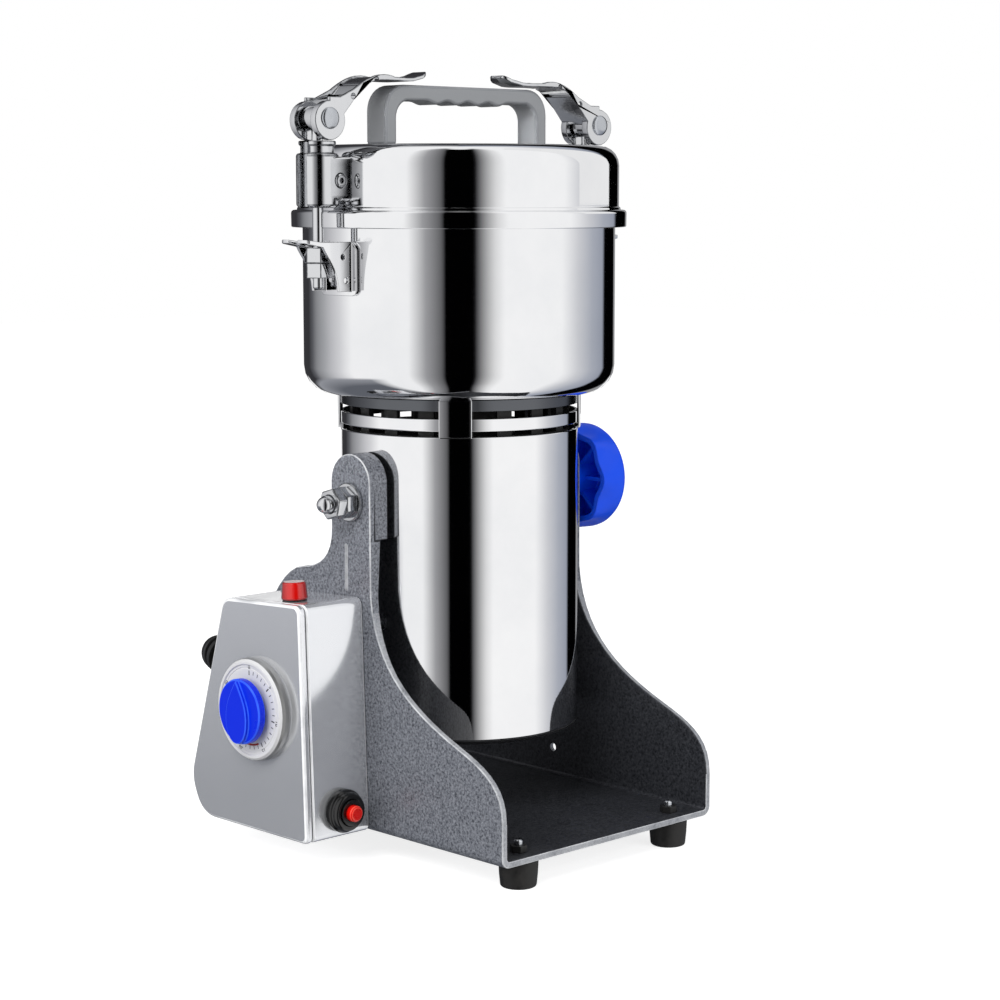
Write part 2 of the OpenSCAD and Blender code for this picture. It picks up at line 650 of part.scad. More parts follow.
// How far the half turn that climbs lies inside the others
coil_dip = 1.2;
function coil_radius(w) =
  w < coil_half ? coil_out - (coil_out - coil_in) * w / coil_half
  : w < coil_half + 180 ? coil_in - coil_dip * sin(w - coil_half)
  : coil_in + (coil_out - coil_in) * (w - coil_half - 180) / coil_half;
function coil_height(w) = coil_z + coil_pitch * min(1, max(0, (w - coil_half) / 180));
function coil_point(w) =
  [coil_at[0] + coil_radius(w) * sin(w), coil_at[1] - coil_radius(w) * cos(w), coil_height(w)];
coil_path = concat(
  [[coil_at[0] - cord_d, cord_land, coil_z]],
  [for (i = [0:coil_steps]) coil_point(coil_loops * 360 * i / coil_steps)],
  [[coil_at[0] + cord_d, cord_land, coil_z + coil_pitch]]
);
module cord_coil() color([0.05, 0.05, 0.05]) tube(coil_path, cord_d, 6);
// Least gap of the coil to itself, on points more than half a loop apart
coil_gap = min([for (i = [0:len(coil_path) - 1], j = [i + 12:1:len(coil_path) - 1])
  norm(coil_path[i] - coil_path[j])]) - cord_d;
function path_length(p) = len(p) < 2 ? 0 : [for (i = [0:len(p) - 2]) norm(p[i + 1] - p[i])] * [for (i = [0:len(p) - 2]) 1];
echo(coil_gap = coil_gap, cord_mm = path_length(cord_path) + path_length(coil_path));

// Clip over the coil on its far side
module cord_tie() color([0.1, 0.1, 0.1])
  translate([0, coil_at[1] + coil_r, 0]) along_x(coil_at[0] - 4, coil_at[0] + 4) difference() {
    polygon(rounded([[coil_in - coil_r - 6, 0, 0], [coil_in - coil_r - 6, tie_top, 3],
      [coil_out - coil_r + 6, tie_top, 3], [coil_out - coil_r + 6, 0, 0]], 4));
    polygon(rounded([[coil_in - coil_r - 5, -1, 0], [coil_in - coil_r - 5, tie_top - 1, 2.2],
      [coil_out - coil_r + 5, tie_top - 1, 2.2], [coil_out - coil_r + 5, -1, 0]], 4));
  }
tie_top = coil_z + coil_pitch + cord_d / 2 + 1.4;

// Moulded plug that lies beside the coil
plug_x = coil_at[0] + cord_d;
plug_z = coil_z + coil_pitch;
plug_relief = 22;
plug_len = 34;
module plug_body() color([0.05, 0.05, 0.05])
  translate([plug_x, cord_land, plug_z]) {
    rotate([0, 90, 0]) rotate_extrude() polygon([[0, 0.05], [cord_d / 2 + 0.3, 0.05], [cord_d / 2 + 0.3, 6],
      [cord_d / 2 + 3.2, plug_relief], [0, plug_relief]]);
    difference() {
      hull() {
        block([plug_relief, -6.5, -plug_z + 4.4], [plug_relief + 1, 6.5, plug_z - 4.4]);
        block([plug_relief + 8, -12.5, -plug_z + 0.1], [plug_relief + plug_len, 12.5, plug_z - 1]);
      }
      for (p = plug_pin_at) block([plug_relief + plug_len - 8, p[0] - 3.2, p[1] - 0.8],
        [plug_relief + plug_len + 1, p[0] + 3.2, p[1] + 0.8]);
      rod_x(plug_relief + plug_len - 8, plug_relief + plug_len + 1, 4.9, 0, -5.4);
    }
  }
plug_pin_at = [[-6.35, 3], [6.35, 3]];
module plug_pins() color([0.8, 0.7, 0.4])
  translate([plug_x, cord_land, plug_z]) {
    for (p = plug_pin_at) block([plug_relief + plug_len - 8, p[0] - 3.15, p[1] - 0.75],
      [plug_relief + plug_len + 17, p[0] + 3.15, p[1] + 0.75]);
    rod_x(plug_relief + plug_len - 8, plug_relief + plug_len + 20, 4.8, 0, -5.4);
  }

// Motor housing: polished tube with two welded bosses for the swing bolts
boss_in = housing_r - 10;
module motor_housing() color([0.8, 0.8, 0.82])
  difference() {
    union() {
      rotate_extrude() polygon([
        [housing_r - housing_wall, tube_z], [housing_r - 0.6, tube_z], [housing_r, tube_z + 0.6],
        [housing_r, tube_top - 0.6], [housing_r - 0.6, tube_top], [housing_r - housing_wall, tube_top]]);
      intersection() {
        union() {
          rod_x(boss_in, housing_r, 24, 0, pivot_z);
          rod_x(-housing_r, -boss_in, 24, 0, pivot_z);
        }
        rod_z(pivot_z - 20, pivot_z + 20, housing_d - housing_wall);
      }
    }
    rod_x(-housing_r - eps, housing_r + eps, stud_d + 2 * run, 0, pivot_z);
  }

module bottom_cap() color([0.06, 0.06, 0.07])
  difference() {
    rotate_extrude() polygon([
      [0, housing_z], [housing_r - 3, housing_z], [housing_r - 0.9, housing_z + 0.9], [housing_r, housing_z + 2.25],
      [housing_r - housing_wall - fit_gap, housing_z + 2.25], [housing_r - housing_wall - fit_gap, housing_z + 8],
      [housing_r - 5, housing_z + 8], [housing_r - 5, housing_z + 3.4], [0, housing_z + 3.4]]);
    // Cooling slots in the underside
    for (a = [0:30:330]) rotate([0, 0, a]) block([22, -2, housing_z - 1], [44, 2, housing_z + 5]);
  }

// Motor inside the housing
stator_z = housing_z + 38;
stator_h = 56;
stator_r = 44;
shield_lo_z = housing_z + 20;
lower_z = shield_lo_z - 10.5;
shield_hi_z = tube_top - 9;
inner_r = housing_r - housing_wall;

// Slots of the core that hold the windings
slot_x = 29.6;
slot_y = 18;
module stator_core() color([0.45, 0.45, 0.47])
  difference() {
    union() {
      rod_z(stator_z, stator_z + stator_h, 2 * stator_r);
      // Four lugs that locate the core in the tube
      intersection() {
        for (a = [45, 135]) rotate([0, 0, a]) block([-inner_r, -7, stator_z], [inner_r, 7, stator_z + stator_h]);
        rod_z(stator_z, stator_z + stator_h, 2 * inner_r - 0.2);
      }
    }
    rod_z(stator_z - eps, stator_z + stator_h + eps, armature_d + 1.2);
    for (s = [-1, 1], t = [-1, 1]) block([s * slot_x - 6.5, t * slot_y - 5, stator_z - eps],
      [s * slot_x + 6.5, t * slot_y + 5, stator_z + stator_h + eps]);
  }

module field_coils() color([0.72, 0.4, 0.2])
  for (s = [-1, 1]) translate([s * slot_x, 0, stator_z - 8]) difference() {
    block([-5, -slot_y - 4.8, 0], [5, slot_y + 4.8, stator_h + 16]);
    block([-7, -slot_y + 4.8, 7.8], [7, slot_y - 4.8, stator_h + 8.2]);
  }

// Cage of ribs behind the band
cage_r = housing_r - 4;
cage_ribs = 18;
cage_gap = 11;

// Bracket with a hub for a ball bearing and six holes for the cooling air
air_hole_x = 37;
air_hole_d = 12;
module end_shield(z, up) {
  translate([0, 0, z]) difference() {
    union() {
      rod_z(0, 4, 2 * inner_r - 0.2);
      rod_z(up ? 0 : -12, up ? 12 : 4, 34);
    }
    rod_z(-13, 13, 27.8);
    for (a = [0:60:300]) rotate([0, 0, a + 30]) translate([air_hole_x, 0, 0]) rod_z(-1, 5, air_hole_d);
  }
}
module lower_end_shield() color([0.6, 0.61, 0.63])
    union() {
      end_shield(shield_lo_z, false);
      rod_z(shield_lo_z - 12, shield_lo_z - 11, 30);
    }
module upper_end_shield() color([0.6, 0.61, 0.63])
  difference() {
    union() {
      end_shield(shield_hi_z, true);
      // Column that carries the bowl, and a cage of ribs behind the band
      rod_z(shield_hi_z + 3, bowl_z - 0.05, 44);
      difference() {
        rod_z(shield_hi_z + 3, bowl_z - 0.05, 2 * cage_r);
        rod_z(shield_hi_z + 4, bowl_z - 2.5, 2 * cage_r - 6);
        for (a = [0:360 / cage_ribs:359]) rotate([0, 0, a]) block([30, -cage_gap / 2, tube_top], [70, cage_gap / 2,
          bowl_z - 3]);
      }
    }
    rod_z(shield_hi_z - 1, bowl_z + 1, shaft_d + 4);
    rod_z(shield_hi_z - 1, shield_hi_z + 11, 27.8);
  }

module bearings() color("silver")
  for (z = [shield_lo_z - 9.5, shield_hi_z + 1]) rotate_extrude() polygon([
    [shaft_d / 2 + run, z], [13.85, z], [13.85, z + 9], [shaft_d / 2 + run, z + 9]]);

commutator_z = stator_z - 12;
commutator_r = 13;
module brush_holders() color([0.35, 0.3, 0.2])
  for (s = [-1, 1]) {
    rod_y(s > 0 ? commutator_r + slack : -inner_r + 0.2, s > 0 ? inner_r - 0.2 : -commutator_r - slack, 9, 0,
      commutator_z + 5);
  }

module vent_collar() color([0.82, 0.82, 0.84]) {
  rotate_extrude() polygon([[housing_r - 3.4, collar_z], [housing_r, collar_z], [housing_r, bowl_z - 0.05],
    [housing_r - 3.4, bowl_z - 0.05]]);
  // Four straps that hook under the band and stand on the tube
  intersection() {
    rotate_extrude() polygon([
      [housing_r - housing_wall, tube_top + 0.02], [housing_r + 1.2, tube_top + 0.02],
      [housing_r + 1.2, bowl_z - 0.05], [housing_r - 1, bowl_z - 0.05], [housing_r - 1, collar_z + 0.2],
      [housing_r + 0.05, collar_z - 0.4], [housing_r + 0.05, band_z - 0.1], [housing_r - housing_wall, band_z - 0.1]]);
    union() for (a = [45, 135]) rotate([0, 0, a]) block([-80, -post_w / 2, tube_top - 1], [80, post_w / 2, bowl_z]);
  }
}
module vent_band() color([0.84, 0.84, 0.86])
  rotate_extrude() polygon([
    [housing_r - 1.6, band_z], [housing_r - 0.3, band_z], [housing_r, band_z + 0.3],
    [housing_r, band_z + vent_band_h - 0.3], [housing_r - 0.3, band_z + vent_band_h],
    [housing_r - 1.6, band_z + vent_band_h]]);

// Bowl: drawn steel pot with a rounded bottom edge and a turned-out lip
seal_d = 22;
module bowl() color([0.84, 0.84, 0.86])
  rotate_extrude() polygon(concat(
    [[seal_d / 2 + 0.05, bowl_z]],
    arc(bowl_r - bowl_corner, bowl_z + bowl_corner, bowl_corner, 270, 360, 12),
    [[bowl_r, bowl_rim_z - lip_t], [rim_r - 2, bowl_rim_z - lip_t], [rim_r - 2, bowl_rim_z],
     [bowl_r - bowl_wall + 0.4, bowl_rim_z], [bowl_r - bowl_wall, bowl_rim_z - 0.4]],
    arc(bowl_r - bowl_corner, bowl_z + bowl_corner, bowl_corner - bowl_wall, 360, 270, 12),
    [[seal_d / 2 + 0.05, bowl_z + bowl_floor_t]]
  ));

module shaft_seal() color([0.1, 0.1, 0.1])
  rotate_extrude() polygon([
    [shaft_d / 2 + run, bowl_z + 0.02], [seal_d / 2, bowl_z + 0.02], [seal_d / 2, bowl_z + bowl_floor_t + 0.05],
    [seal_d / 2 + 2, bowl_z + bowl_floor_t + 0.05], [seal_d / 2 + 1, bowl_z + bowl_floor_t + 2],
    [shaft_d / 2 + 2, bowl_z + 5.5], [shaft_d / 2 + run, bowl_z + 5.5]]);

// Catch on the bowl: curved foot, shelf with an open slot and two gussets
shelf_t = 2.2;
shelf_out = latch_x + 14.5;
gusset_y = 8;
module catch_bracket() difference() {
  union() {
    intersection() {
      rotate_extrude() polygon([[bowl_r + 0.03, shelf_z - 24], [bowl_r + 2, shelf_z - 24], [bowl_r + 2, shelf_z + 4],
        [bowl_r + 0.03, shelf_z + 4]]);
      along_x(50, 90) polygon(rounded([[-12, shelf_z - 22, 2.5], [-12, shelf_z + shelf_t, 4],
        [12, shelf_z + shelf_t, 4], [12, shelf_z - 22, 2.5]]));
    }
    intersection() {
      along_y(-gusset_y - 1.6, gusset_y + 1.6) polygon([[bowl_r + 0.5, shelf_z], [latch_x + 5.4, shelf_z],
        [shelf_out, shelf_z + 1.75], [shelf_out, shelf_z + shelf_t + 1.1], [latch_x + 6, shelf_z + shelf_t],
        [bowl_r + 0.5, shelf_z + shelf_t]]);
      translate([0, 0, shelf_z - 5]) linear_extrude(12) polygon(rounded([[60, -12, 0], [shelf_out, -10, 4],
        [shelf_out, 10, 4], [60, 12, 0]]));
    }
    for (s = [-1, 1]) difference() {
      along_y(s > 0 ? gusset_y : -gusset_y - 1.6, s > 0 ? gusset_y + 1.6 : -gusset_y) polygon(concat(
        [[bowl_r + 0.6, shelf_z + 0.5], [latch_x + 5, shelf_z + 0.5]],
        curve([latch_x + 5, shelf_z], [latch_x + 2, shelf_z - 6], [latch_x - 3, shelf_z - 8],
              [latch_x - 4, shelf_z - 20], 8),
        [[latch_x - 4, shelf_z - 20], [bowl_r + 0.6, shelf_z - 20]]));
      rod_y(s * gusset_y - 3, s * gusset_y + 3, 2.6, latch_x - 6.4, shelf_z - 4.5);
      rod_y(s * gusset_y - 3, s * gusset_y + 3, 2.6, latch_x - 8, shelf_z - 15);
    }
  }
  // Slot for the rod, and room round the bowl wall
  along_y(-rod_d / 2 - 0.6, rod_d / 2 + 0.6) polygon([[latch_x, shelf_z - 1], [shelf_out + 1, shelf_z - 1],
    [shelf_out + 1, shelf_z + 6], [latch_x, shelf_z + 6]]);
  rod_z(shelf_z - 1, shelf_z + 6, rod_d + 1.2, latch_x, 0);
  rod_z(shelf_z - 30, shelf_z + 10, bowl_d + 0.06);
}
module catch_brackets() color([0.8, 0.8, 0.82])
  for (s = [-1, 1]) on_side(s) catch_bracket();

// Lid: drawn steel cover with a skirt that holds the gasket over the lip of the bowl
module lid() color([0.84, 0.84, 0.86])
  difference() {
    rotate_extrude() polygon(concat(
      [[0, lid_top - lid_t], [lid_r - lid_corner, lid_top - lid_t]],
      arc(lid_r - lid_corner, lid_top - lid_corner, lid_corner - lid_t, 90, 0, 10),
      [[lid_r - lid_t, rim_top - lid_t], [rim_r - lid_t, rim_top - lid_t], [rim_r - lid_t, rim_z], [rim_r, rim_z]],
      arc(rim_r - 1.4, rim_top - 1.4, 1.4, 0, 90, 5),
      [[lid_r, rim_top]],
      arc(lid_r - lid_corner, lid_top - lid_corner, lid_corner, 0, 90, 10),
      [[0, lid_top]]
    ));
    for (s = [-1, 1]) rod_z(lid_top - 4, lid_top + 4, handle_screw_d + 2 * run, s * handle_screw_x);
  }

module lid_gasket() color([0.9, 0.9, 0.88])
  rotate_extrude() polygon([
    [bowl_r - bowl_wall + 0.6, bowl_rim_z + 0.05], [rim_r - lid_t - 0.1, bowl_rim_z + 0.05],
    [rim_r - lid_t - 0.1, rim_top - lid_t - 0.05], [bowl_r - bowl_wall + 0.6, rim_top - lid_t - 0.05]]);

// Handle: a flat strap bent over, with finger waves under the bar
handle_screw_d = 4;
handle_end = handle_len / 2;
handle_screw_x = handle_end - handle_t / 2;
wave_n = 4;
wave_half = 26;
handle_outer_r = 12;
handle_inner_r = 8;
bar_z = handle_top - handle_t;
module handle() color([0.54, 0.55, 0.56])
  difference() {
    along_y(-handle_w / 2, handle_w / 2) polygon(concat(
      [[-handle_end, lid_top + 0.02]],
      arc(-handle_end + handle_outer_r, handle_top - handle_outer_r, handle_outer_r, 180, 90, 8),
      arc(handle_end - handle_outer_r, handle_top - handle_outer_r, handle_outer_r, 90, 0, 8),
      [[handle_end, lid_top + 0.02], [handle_end - handle_t, lid_top + 0.02]],
      arc(handle_end - handle_t - handle_inner_r, bar_z - handle_inner_r, handle_inner_r, 0, 80, 7),
      [for (i = [0:32]) let (t = i / 32) [wave_half * (1 - 2 * t), bar_z - 0.75 + 0.75 * cos(360 * wave_n * t)]],
      arc(-handle_end + handle_t + handle_inner_r, bar_z - handle_inner_r, handle_inner_r, 100, 180, 7),
      [[-handle_end + handle_t, lid_top + 0.02]]
    ));
    for (s = [-1, 1]) rod_z(lid_top - 1, lid_top + 14, handle_screw_d + 2 * run, s * handle_screw_x);
  }

module handle_screws() color("silver")
  for (s = [-1, 1]) translate([s * handle_screw_x, 0, lid_top - lid_t]) rotate_extrude() polygon([
    [0, -2.4], [handle_screw_d - 1, -2.4], [handle_screw_d, -1.3], [handle_screw_d, -0.02],
    [handle_screw_d / 2, -0.02], [handle_screw_d / 2, 13], [0, 13]]);

// Latch block on the lid: slotted barrel with a ringed neck that carries the cams
block_screw_z = block_z + block_h / 2;
block_screw_x = latch_x - 5.5;
module latch_block() difference() {
  union() {
    translate([latch_x, 0, 0]) rotate_extrude() polygon([
      [0, block_z], [block_r - 1.2, block_z], [block_r, block_z + 1.2], [block_r, block_z + block_h - 1],
      [block_r - 0.6, block_z + block_h], [block_r - 2, block_z + block_h], [block_r - 2, neck_top - 2],
      [block_r - 1.2, neck_top - 2], [block_r - 1.2, neck_top], [0, neck_top]]);
    along_x(lid_r - 6, latch_x) polygon(rounded([[-block_r, block_z + 3, 2.4], [-block_r, block_z + block_h - 1.5, 1],
      [block_r, block_z + block_h - 1.5, 1], [block_r, block_z + 3, 2.4]], 4));
  }
  rod_z(block_z - 1, neck_top + 1, 2 * lid_r + 0.1);
  block([latch_x, -rod_d / 2 - 0.5, block_z - 1], [latch_x + 20, rod_d / 2 + 0.5, neck_top + 1]);
  rod_z(block_z - 1, neck_top + 1, rod_d + 1, latch_x, 0);
  for (s = [-1, 1]) rod_y(s > 0 ? block_r - 3 : -block_r - 1, s > 0 ? block_r + 1 : -block_r + 3, 6.2,
    block_screw_x, block_screw_z);
}
module latch_block_left() color([0.8, 0.8, 0.82]) on_side(-1) latch_block();
module latch_block_right() color([0.8, 0.8, 0.82]) latch_block();

module block_screws() color("silver")
  for (m = [-1, 1], s = [-1, 1]) translate([m * block_screw_x, s * (block_r - 2.95), block_screw_z])
    rotate([s > 0 ? -90 : 90, 0, 0]) difference() {
      rotate_extrude() polygon([[0, 0], [3.05, 0], [3.05, 3], [2.4, 3.7], [0, 3.7]]);
      translate([0, 0, 2.2]) cylinder(h = 3, d = 2.6, $fn = 6);
    }

module latch_pin() translate([latch_x, 0, pin_z]) rotate([90, 0, 0]) rotate_extrude() {
  polygon([[0, -cam_w / 2 - 1.6], [3.6, -cam_w / 2 - 1.6], [4.8, -cam_w / 2 - 0.9], [4.8, -cam_w / 2 - 0.05],
    [pin_d / 2, -cam_w / 2 - 0.05], [pin_d / 2, cam_w / 2 + 0.05], [4.8, cam_w / 2 + 0.05],
    [4.8, cam_w / 2 + 0.9], [3.6, cam_w / 2 + 1.6], [0, cam_w / 2 + 1.6]]);
}
module latch_pin_left() color("silver") on_side(-1) latch_pin();
module latch_pin_right() color("silver") latch_pin();

// Cam outline from its support: the radius falls evenly with the turn of the lever, so the pin sinks evenly
function cam_support(w) = w <= cam_turn ? cam_r - cam_rate * w * PI / 180
  : cam_r - cam_lift + cam_lift * (1 - cos(180 * (w - cam_turn) / (360 - cam_turn))) / 2;
function cam_slope(w) = w <= cam_turn ? -cam_rate
  : cam_lift * sin(180 * (w - cam_turn) / (360 - cam_turn)) / 2 * 180 / (360 - cam_turn);
cam_outline = [for (i = [0:47]) let (w = i * 7.5, h = cam_support(w), g = cam_slope(w), f = w - 90)
  [latch_x + h * cos(f) - g * sin(f), pin_z + h * sin(f) + g * cos(f)]];

// Arm of the lever: a bent channel, open outwards, that reaches over the end of the handle
arm_t = 1.6;
ear_in = 5.3;
flange_t = 1.8;
arm_tip = latch_x - 62;
// Inner face of the web from the pin over the handle to the tip
web_line = concat(
  curve([latch_x - 7, pin_z + 0.5], [latch_x - 14, pin_z + 7.5], [latch_x - 20, handle_top + 1.2],
        [latch_x - 30, handle_top + 1.5], 12),
  curve([latch_x - 30, handle_top + 1.5], [latch_x - 42, handle_top + 1.8], [latch_x - 46, handle_top + 0.9],
        [latch_x - 54, handle_top + 1.9], 8),
  [[latch_x - 58, handle_top + 3.1], [arm_tip, handle_top + 5]]
);
web_back = [for (i = [len(web_line) - 1:-1:0])
  let (k = len(web_line) - 1, d = unit(web_line[min(i + 1, k)] - web_line[max(i - 1, 0)]))
  web_line[i] + arm_t * [d[1], -d[0]]];
// Side flange: rises from the web, deepest at the bend, and runs out over the handle
flange_outline = concat(
  [[latch_x, pin_z]],
  [for (i = [0:14]) web_line[i]],
  curve([latch_x - 38, handle_top + 3.4], [latch_x - 28, handle_top + 6], [latch_x - 20, handle_top + 1],
        [latch_x - 12, handle_top - 4.5], 10),
  [[latch_x - 6, handle_top - 6.6], [latch_x, handle_top - 6.6]]
);
module latch_lever() difference() {
  union() {
    for (s = [-1, 1]) {
      along_y(s > 0 ? ear_in : -cam_w / 2, s > 0 ? cam_w / 2 : -ear_in) polygon(cam_outline);
      along_y(s > 0 ? cam_w / 2 - flange_t : -cam_w / 2, s > 0 ? cam_w / 2 : -cam_w / 2 + flange_t)
        polygon(flange_outline);
    }
    intersection() {
      along_y(-cam_w / 2, cam_w / 2) polygon(concat(web_line, web_back));
      translate([0, 0, pin_z - 5]) linear_extrude(40) polygon(rounded([[latch_x, -cam_w / 2, 0],
        [latch_x - 42, -cam_w / 2, 20], [arm_tip, -6, 5], [arm_tip, 6, 5], [latch_x - 42, cam_w / 2, 20],
        [latch_x, cam_w / 2, 0]]));
    }
  }
  rod_y(-cam_w / 2 - 1, cam_w / 2 + 1, pin_d + 2 * run, latch_x, pin_z);
  // Lightening holes in the flanges
  for (p = [[-13.6, 9.9, 2.4], [-20.5, 14.6, 2.6], [-27.5, 17.7, 2.2]])
    rod_y(-cam_w, cam_w, p[2], latch_x + p[0], pin_z + p[1]);
}
module latch_lever_left() color([0.82, 0.82, 0.84]) on_side(-1) latch_lever();
module latch_lever_right() color([0.82, 0.82, 0.84]) latch_lever();

// Rod with an eye on the pin and two clamping nuts under the shelf
eye_w = 8.4;
eye_r = 5.5;
module latch_rod() {
  difference() {
    union() {
      rod_y(-eye_w / 2, eye_w / 2, 2 * eye_r, latch_x, pin_z);
      rod_z(rod_tip + 0.6, pin_z, rod_d, latch_x, 0);
      translate([latch_x, 0, rod_tip]) cylinder(h = 0.6, d1 = rod_d - 1.2, d2 = rod_d);
    }
    rod_y(-eye_w, eye_w, pin_d + 2 * run, latch_x, pin_z);
  }
  for (i = [1, 2]) translate([latch_x, 0, nut_top - i * clamp_nut_h + 0.05])
    hex_nut(clamp_nut_af, clamp_nut_h - 0.1, rod_d + 2 * run);
}
module latch_rod_left() color("silver") on_side(-1) latch_rod();
module latch_rod_right() color("silver") latch_rod();

// Rotor
blade_lo = bowl_z + 12;
blade_hi = blade_lo + 16;
module rotor_shaft() color("silver")
  rotate_extrude() polygon([
    [0, lower_z], [shaft_d / 2, lower_z], [shaft_d / 2, blade_hi + 14], [shaft_d / 2 - 1, blade_hi + 15],
    [0, blade_hi + 15]]);
module armature() color([0.5, 0.36, 0.25]) {
  rotate_extrude() polygon([
    [shaft_d / 2 + 0.02, stator_z], [armature_d / 2, stator_z], [armature_d / 2, stator_z + stator_h],
    [armature_d / 2 - 5, stator_z + stator_h + 8], [shaft_d / 2 + 0.02, stator_z + stator_h + 8]]);
}
module commutator() color([0.75, 0.45, 0.25])
  rotate_extrude() polygon([
    [shaft_d / 2 + 0.02, commutator_z], [commutator_r, commutator_z], [commutator_r, commutator_z + 11.9],
    [shaft_d / 2 + 0.02, commutator_z + 11.9]]);
fan_z = stator_z + stator_h + 8.1;
fan_r = 40;
fan_hub_r = 12;
module fan() color([0.12, 0.12, 0.13])
  difference() {
    union() {
      rod_z(fan_z, fan_z + 10, 2 * fan_hub_r);
      rod_z(fan_z, fan_z + 2, 2 * fan_r);
      for (a = [0:30:330]) rotate([0, 0, a]) translate([0, 0, fan_z]) block([fan_hub_r - 2, -0.8, 1], [fan_r - 1, 0.8, 10]);
    }
    rod_z(fan_z - 1, fan_z + 12, shaft_d + 0.04);
  }
module blade_spacers() color("silver") {
  rotate_extrude() polygon([[shaft_d / 2 + 0.02, bowl_z + 5.8], [9, bowl_z + 5.8], [9, blade_lo - 0.02],
    [shaft_d / 2 + 0.02, blade_lo - 0.02]]);
  rotate_extrude() polygon([[shaft_d / 2 + 0.02, blade_lo + blade_t + 0.02], [9, blade_lo + blade_t + 0.02],
    [9, blade_hi - 0.02], [shaft_d / 2 + 0.02, blade_hi - 0.02]]);
}
// Two crossed blades, each with swept cutting tips
blade_outline = let (r = blade_d / 2, w = blade_w / 2)
  [[-r, w * 0.25], [-r * 0.55, w], [r * 0.3, w], [r, w * 0.75], [r, -w * 0.25], [r * 0.55, -w], [-r * 0.3, -w],
   [-r, -w * 0.75]];
module blades() color([0.82, 0.83, 0.85])
  for (p = [[blade_lo, 20], [blade_hi, 110]]) difference() {
    translate([0, 0, p[0]]) rotate([0, 0, p[1]]) linear_extrude(blade_t) polygon(blade_outline);
    rod_z(p[0] - 1, p[0] + blade_t + 1, shaft_d + 0.04);
  }
module blade_nut() color("silver")
  translate([0, 0, blade_hi + blade_t + 0.02]) hex_nut(16, 8, shaft_d + 0.04);

// Left swing bolt with washer and two nuts, right lock knob with its stud
shoulder = pad_x - 0.15;
stud_end = cheek_x + 16;
module pivot_stud() color("silver") {
  rod_x(-stud_end + 1, -boss_in + 1, stud_d, 0, pivot_z);
  translate([-stud_end + 1, 0, pivot_z]) sphere(d = stud_d - 0.4);
  rod_x(-shoulder, -housing_r - 0.05, 15, 0, pivot_z);
}
module pivot_nuts() color("silver") {
  difference() {
    rod_x(-cheek_x - 2, -cheek_x - 0.02, washer_d, 0, pivot_z);
    rod_x(-cheek_x - 3, -cheek_x + 1, stud_d + 2 * run, 0, pivot_z);
  }
  for (i = [0, 1]) translate([-cheek_x - 2.05 - i * 5.25 - 5.2, 0, pivot_z]) rotate([i * 14, 0, 0])
    rotate([0, 90, 0]) hex_nut(stud_nut_af, 5.2, stud_d + 2 * run);
}

knob_in = cheek_x + 4.5;
// Star outline of the knob, radius drawn in by d
function star(d) = [for (i = [0:95]) let (w = i * 3.75)
  (knob_d / 2 - d - lobe_depth * (1 - cos(knob_lobes * w)) / 2) * [cos(w), sin(w)]];
module lock_knob() color([0.03, 0.25, 0.95])
  translate([0, 0, pivot_z]) difference() {
    union() {
      along_x(knob_in, knob_in + knob_len - 1.5) polygon(star(0));
      along_x(knob_in + knob_len - 1.5, knob_in + knob_len) polygon(star(1.2));
      rod_x(cheek_x + slack, knob_in + 1, 20);
    }
    difference() {
      along_x(knob_in - 1, knob_in + knob_len - 1.5 - knob_wall) polygon(star(knob_wall));
      rod_x(cheek_x, knob_in + knob_len, 20);
      for (a = [0:360 / knob_lobes:359]) rotate([a, 0, 0])
        block([knob_in + 3, -0.9, 8], [knob_in + knob_len, 0.9, knob_d / 2 - 1]);
    }
    rod_x(cheek_x - 1, knob_in + knob_len - 5, stud_d + 0.04);
  }
module knob_stud() color("silver") {
  rod_x(boss_in - 1, knob_in + knob_len - 5.1, stud_d, 0, pivot_z);
}

base_frame();
rubber_feet();
foot_screws();
foot_nuts();
control_box_body();
control_box_cover();
box_screws();
timer_body();
timer_bezel();
timer_shaft();
timer_knob();
breaker_body();
breaker_nut();
breaker_button();
lamp_base();
lamp_lens();
strain_relief();
mains_cord();
cord_coil();
cord_tie();
plug_body();
plug_pins();
motor_housing();
bottom_cap();
stator_core();
field_coils();
lower_end_shield();
upper_end_shield();
bearings();
brush_holders();
vent_collar();
vent_band();
bowl();
shaft_seal();
catch_brackets();
pivot_stud();
pivot_nuts();
lid();
lid_gasket();
handle();
handle_screws();
latch_block_left();
latch_block_right();
block_screws();
rotor_shaft();
armature();
commutator();
fan();
blade_spacers();
blades();
blade_nut();
lock_knob();
knob_stud();
latch_pin_left();
latch_pin_right();
latch_lever_left();
latch_lever_right();
latch_rod_left();
latch_rod_right();
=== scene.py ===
# Electric grain mill that swings in a bent steel base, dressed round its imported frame.
# Lengths on the mill are in millimetres and turned into metres by MM. Those of the studio are in metres.
import json
from math import asin, atan, atan2, cos, degrees, pi, radians, sin

import bmesh
import bpy
from mathutils import Matrix, Vector


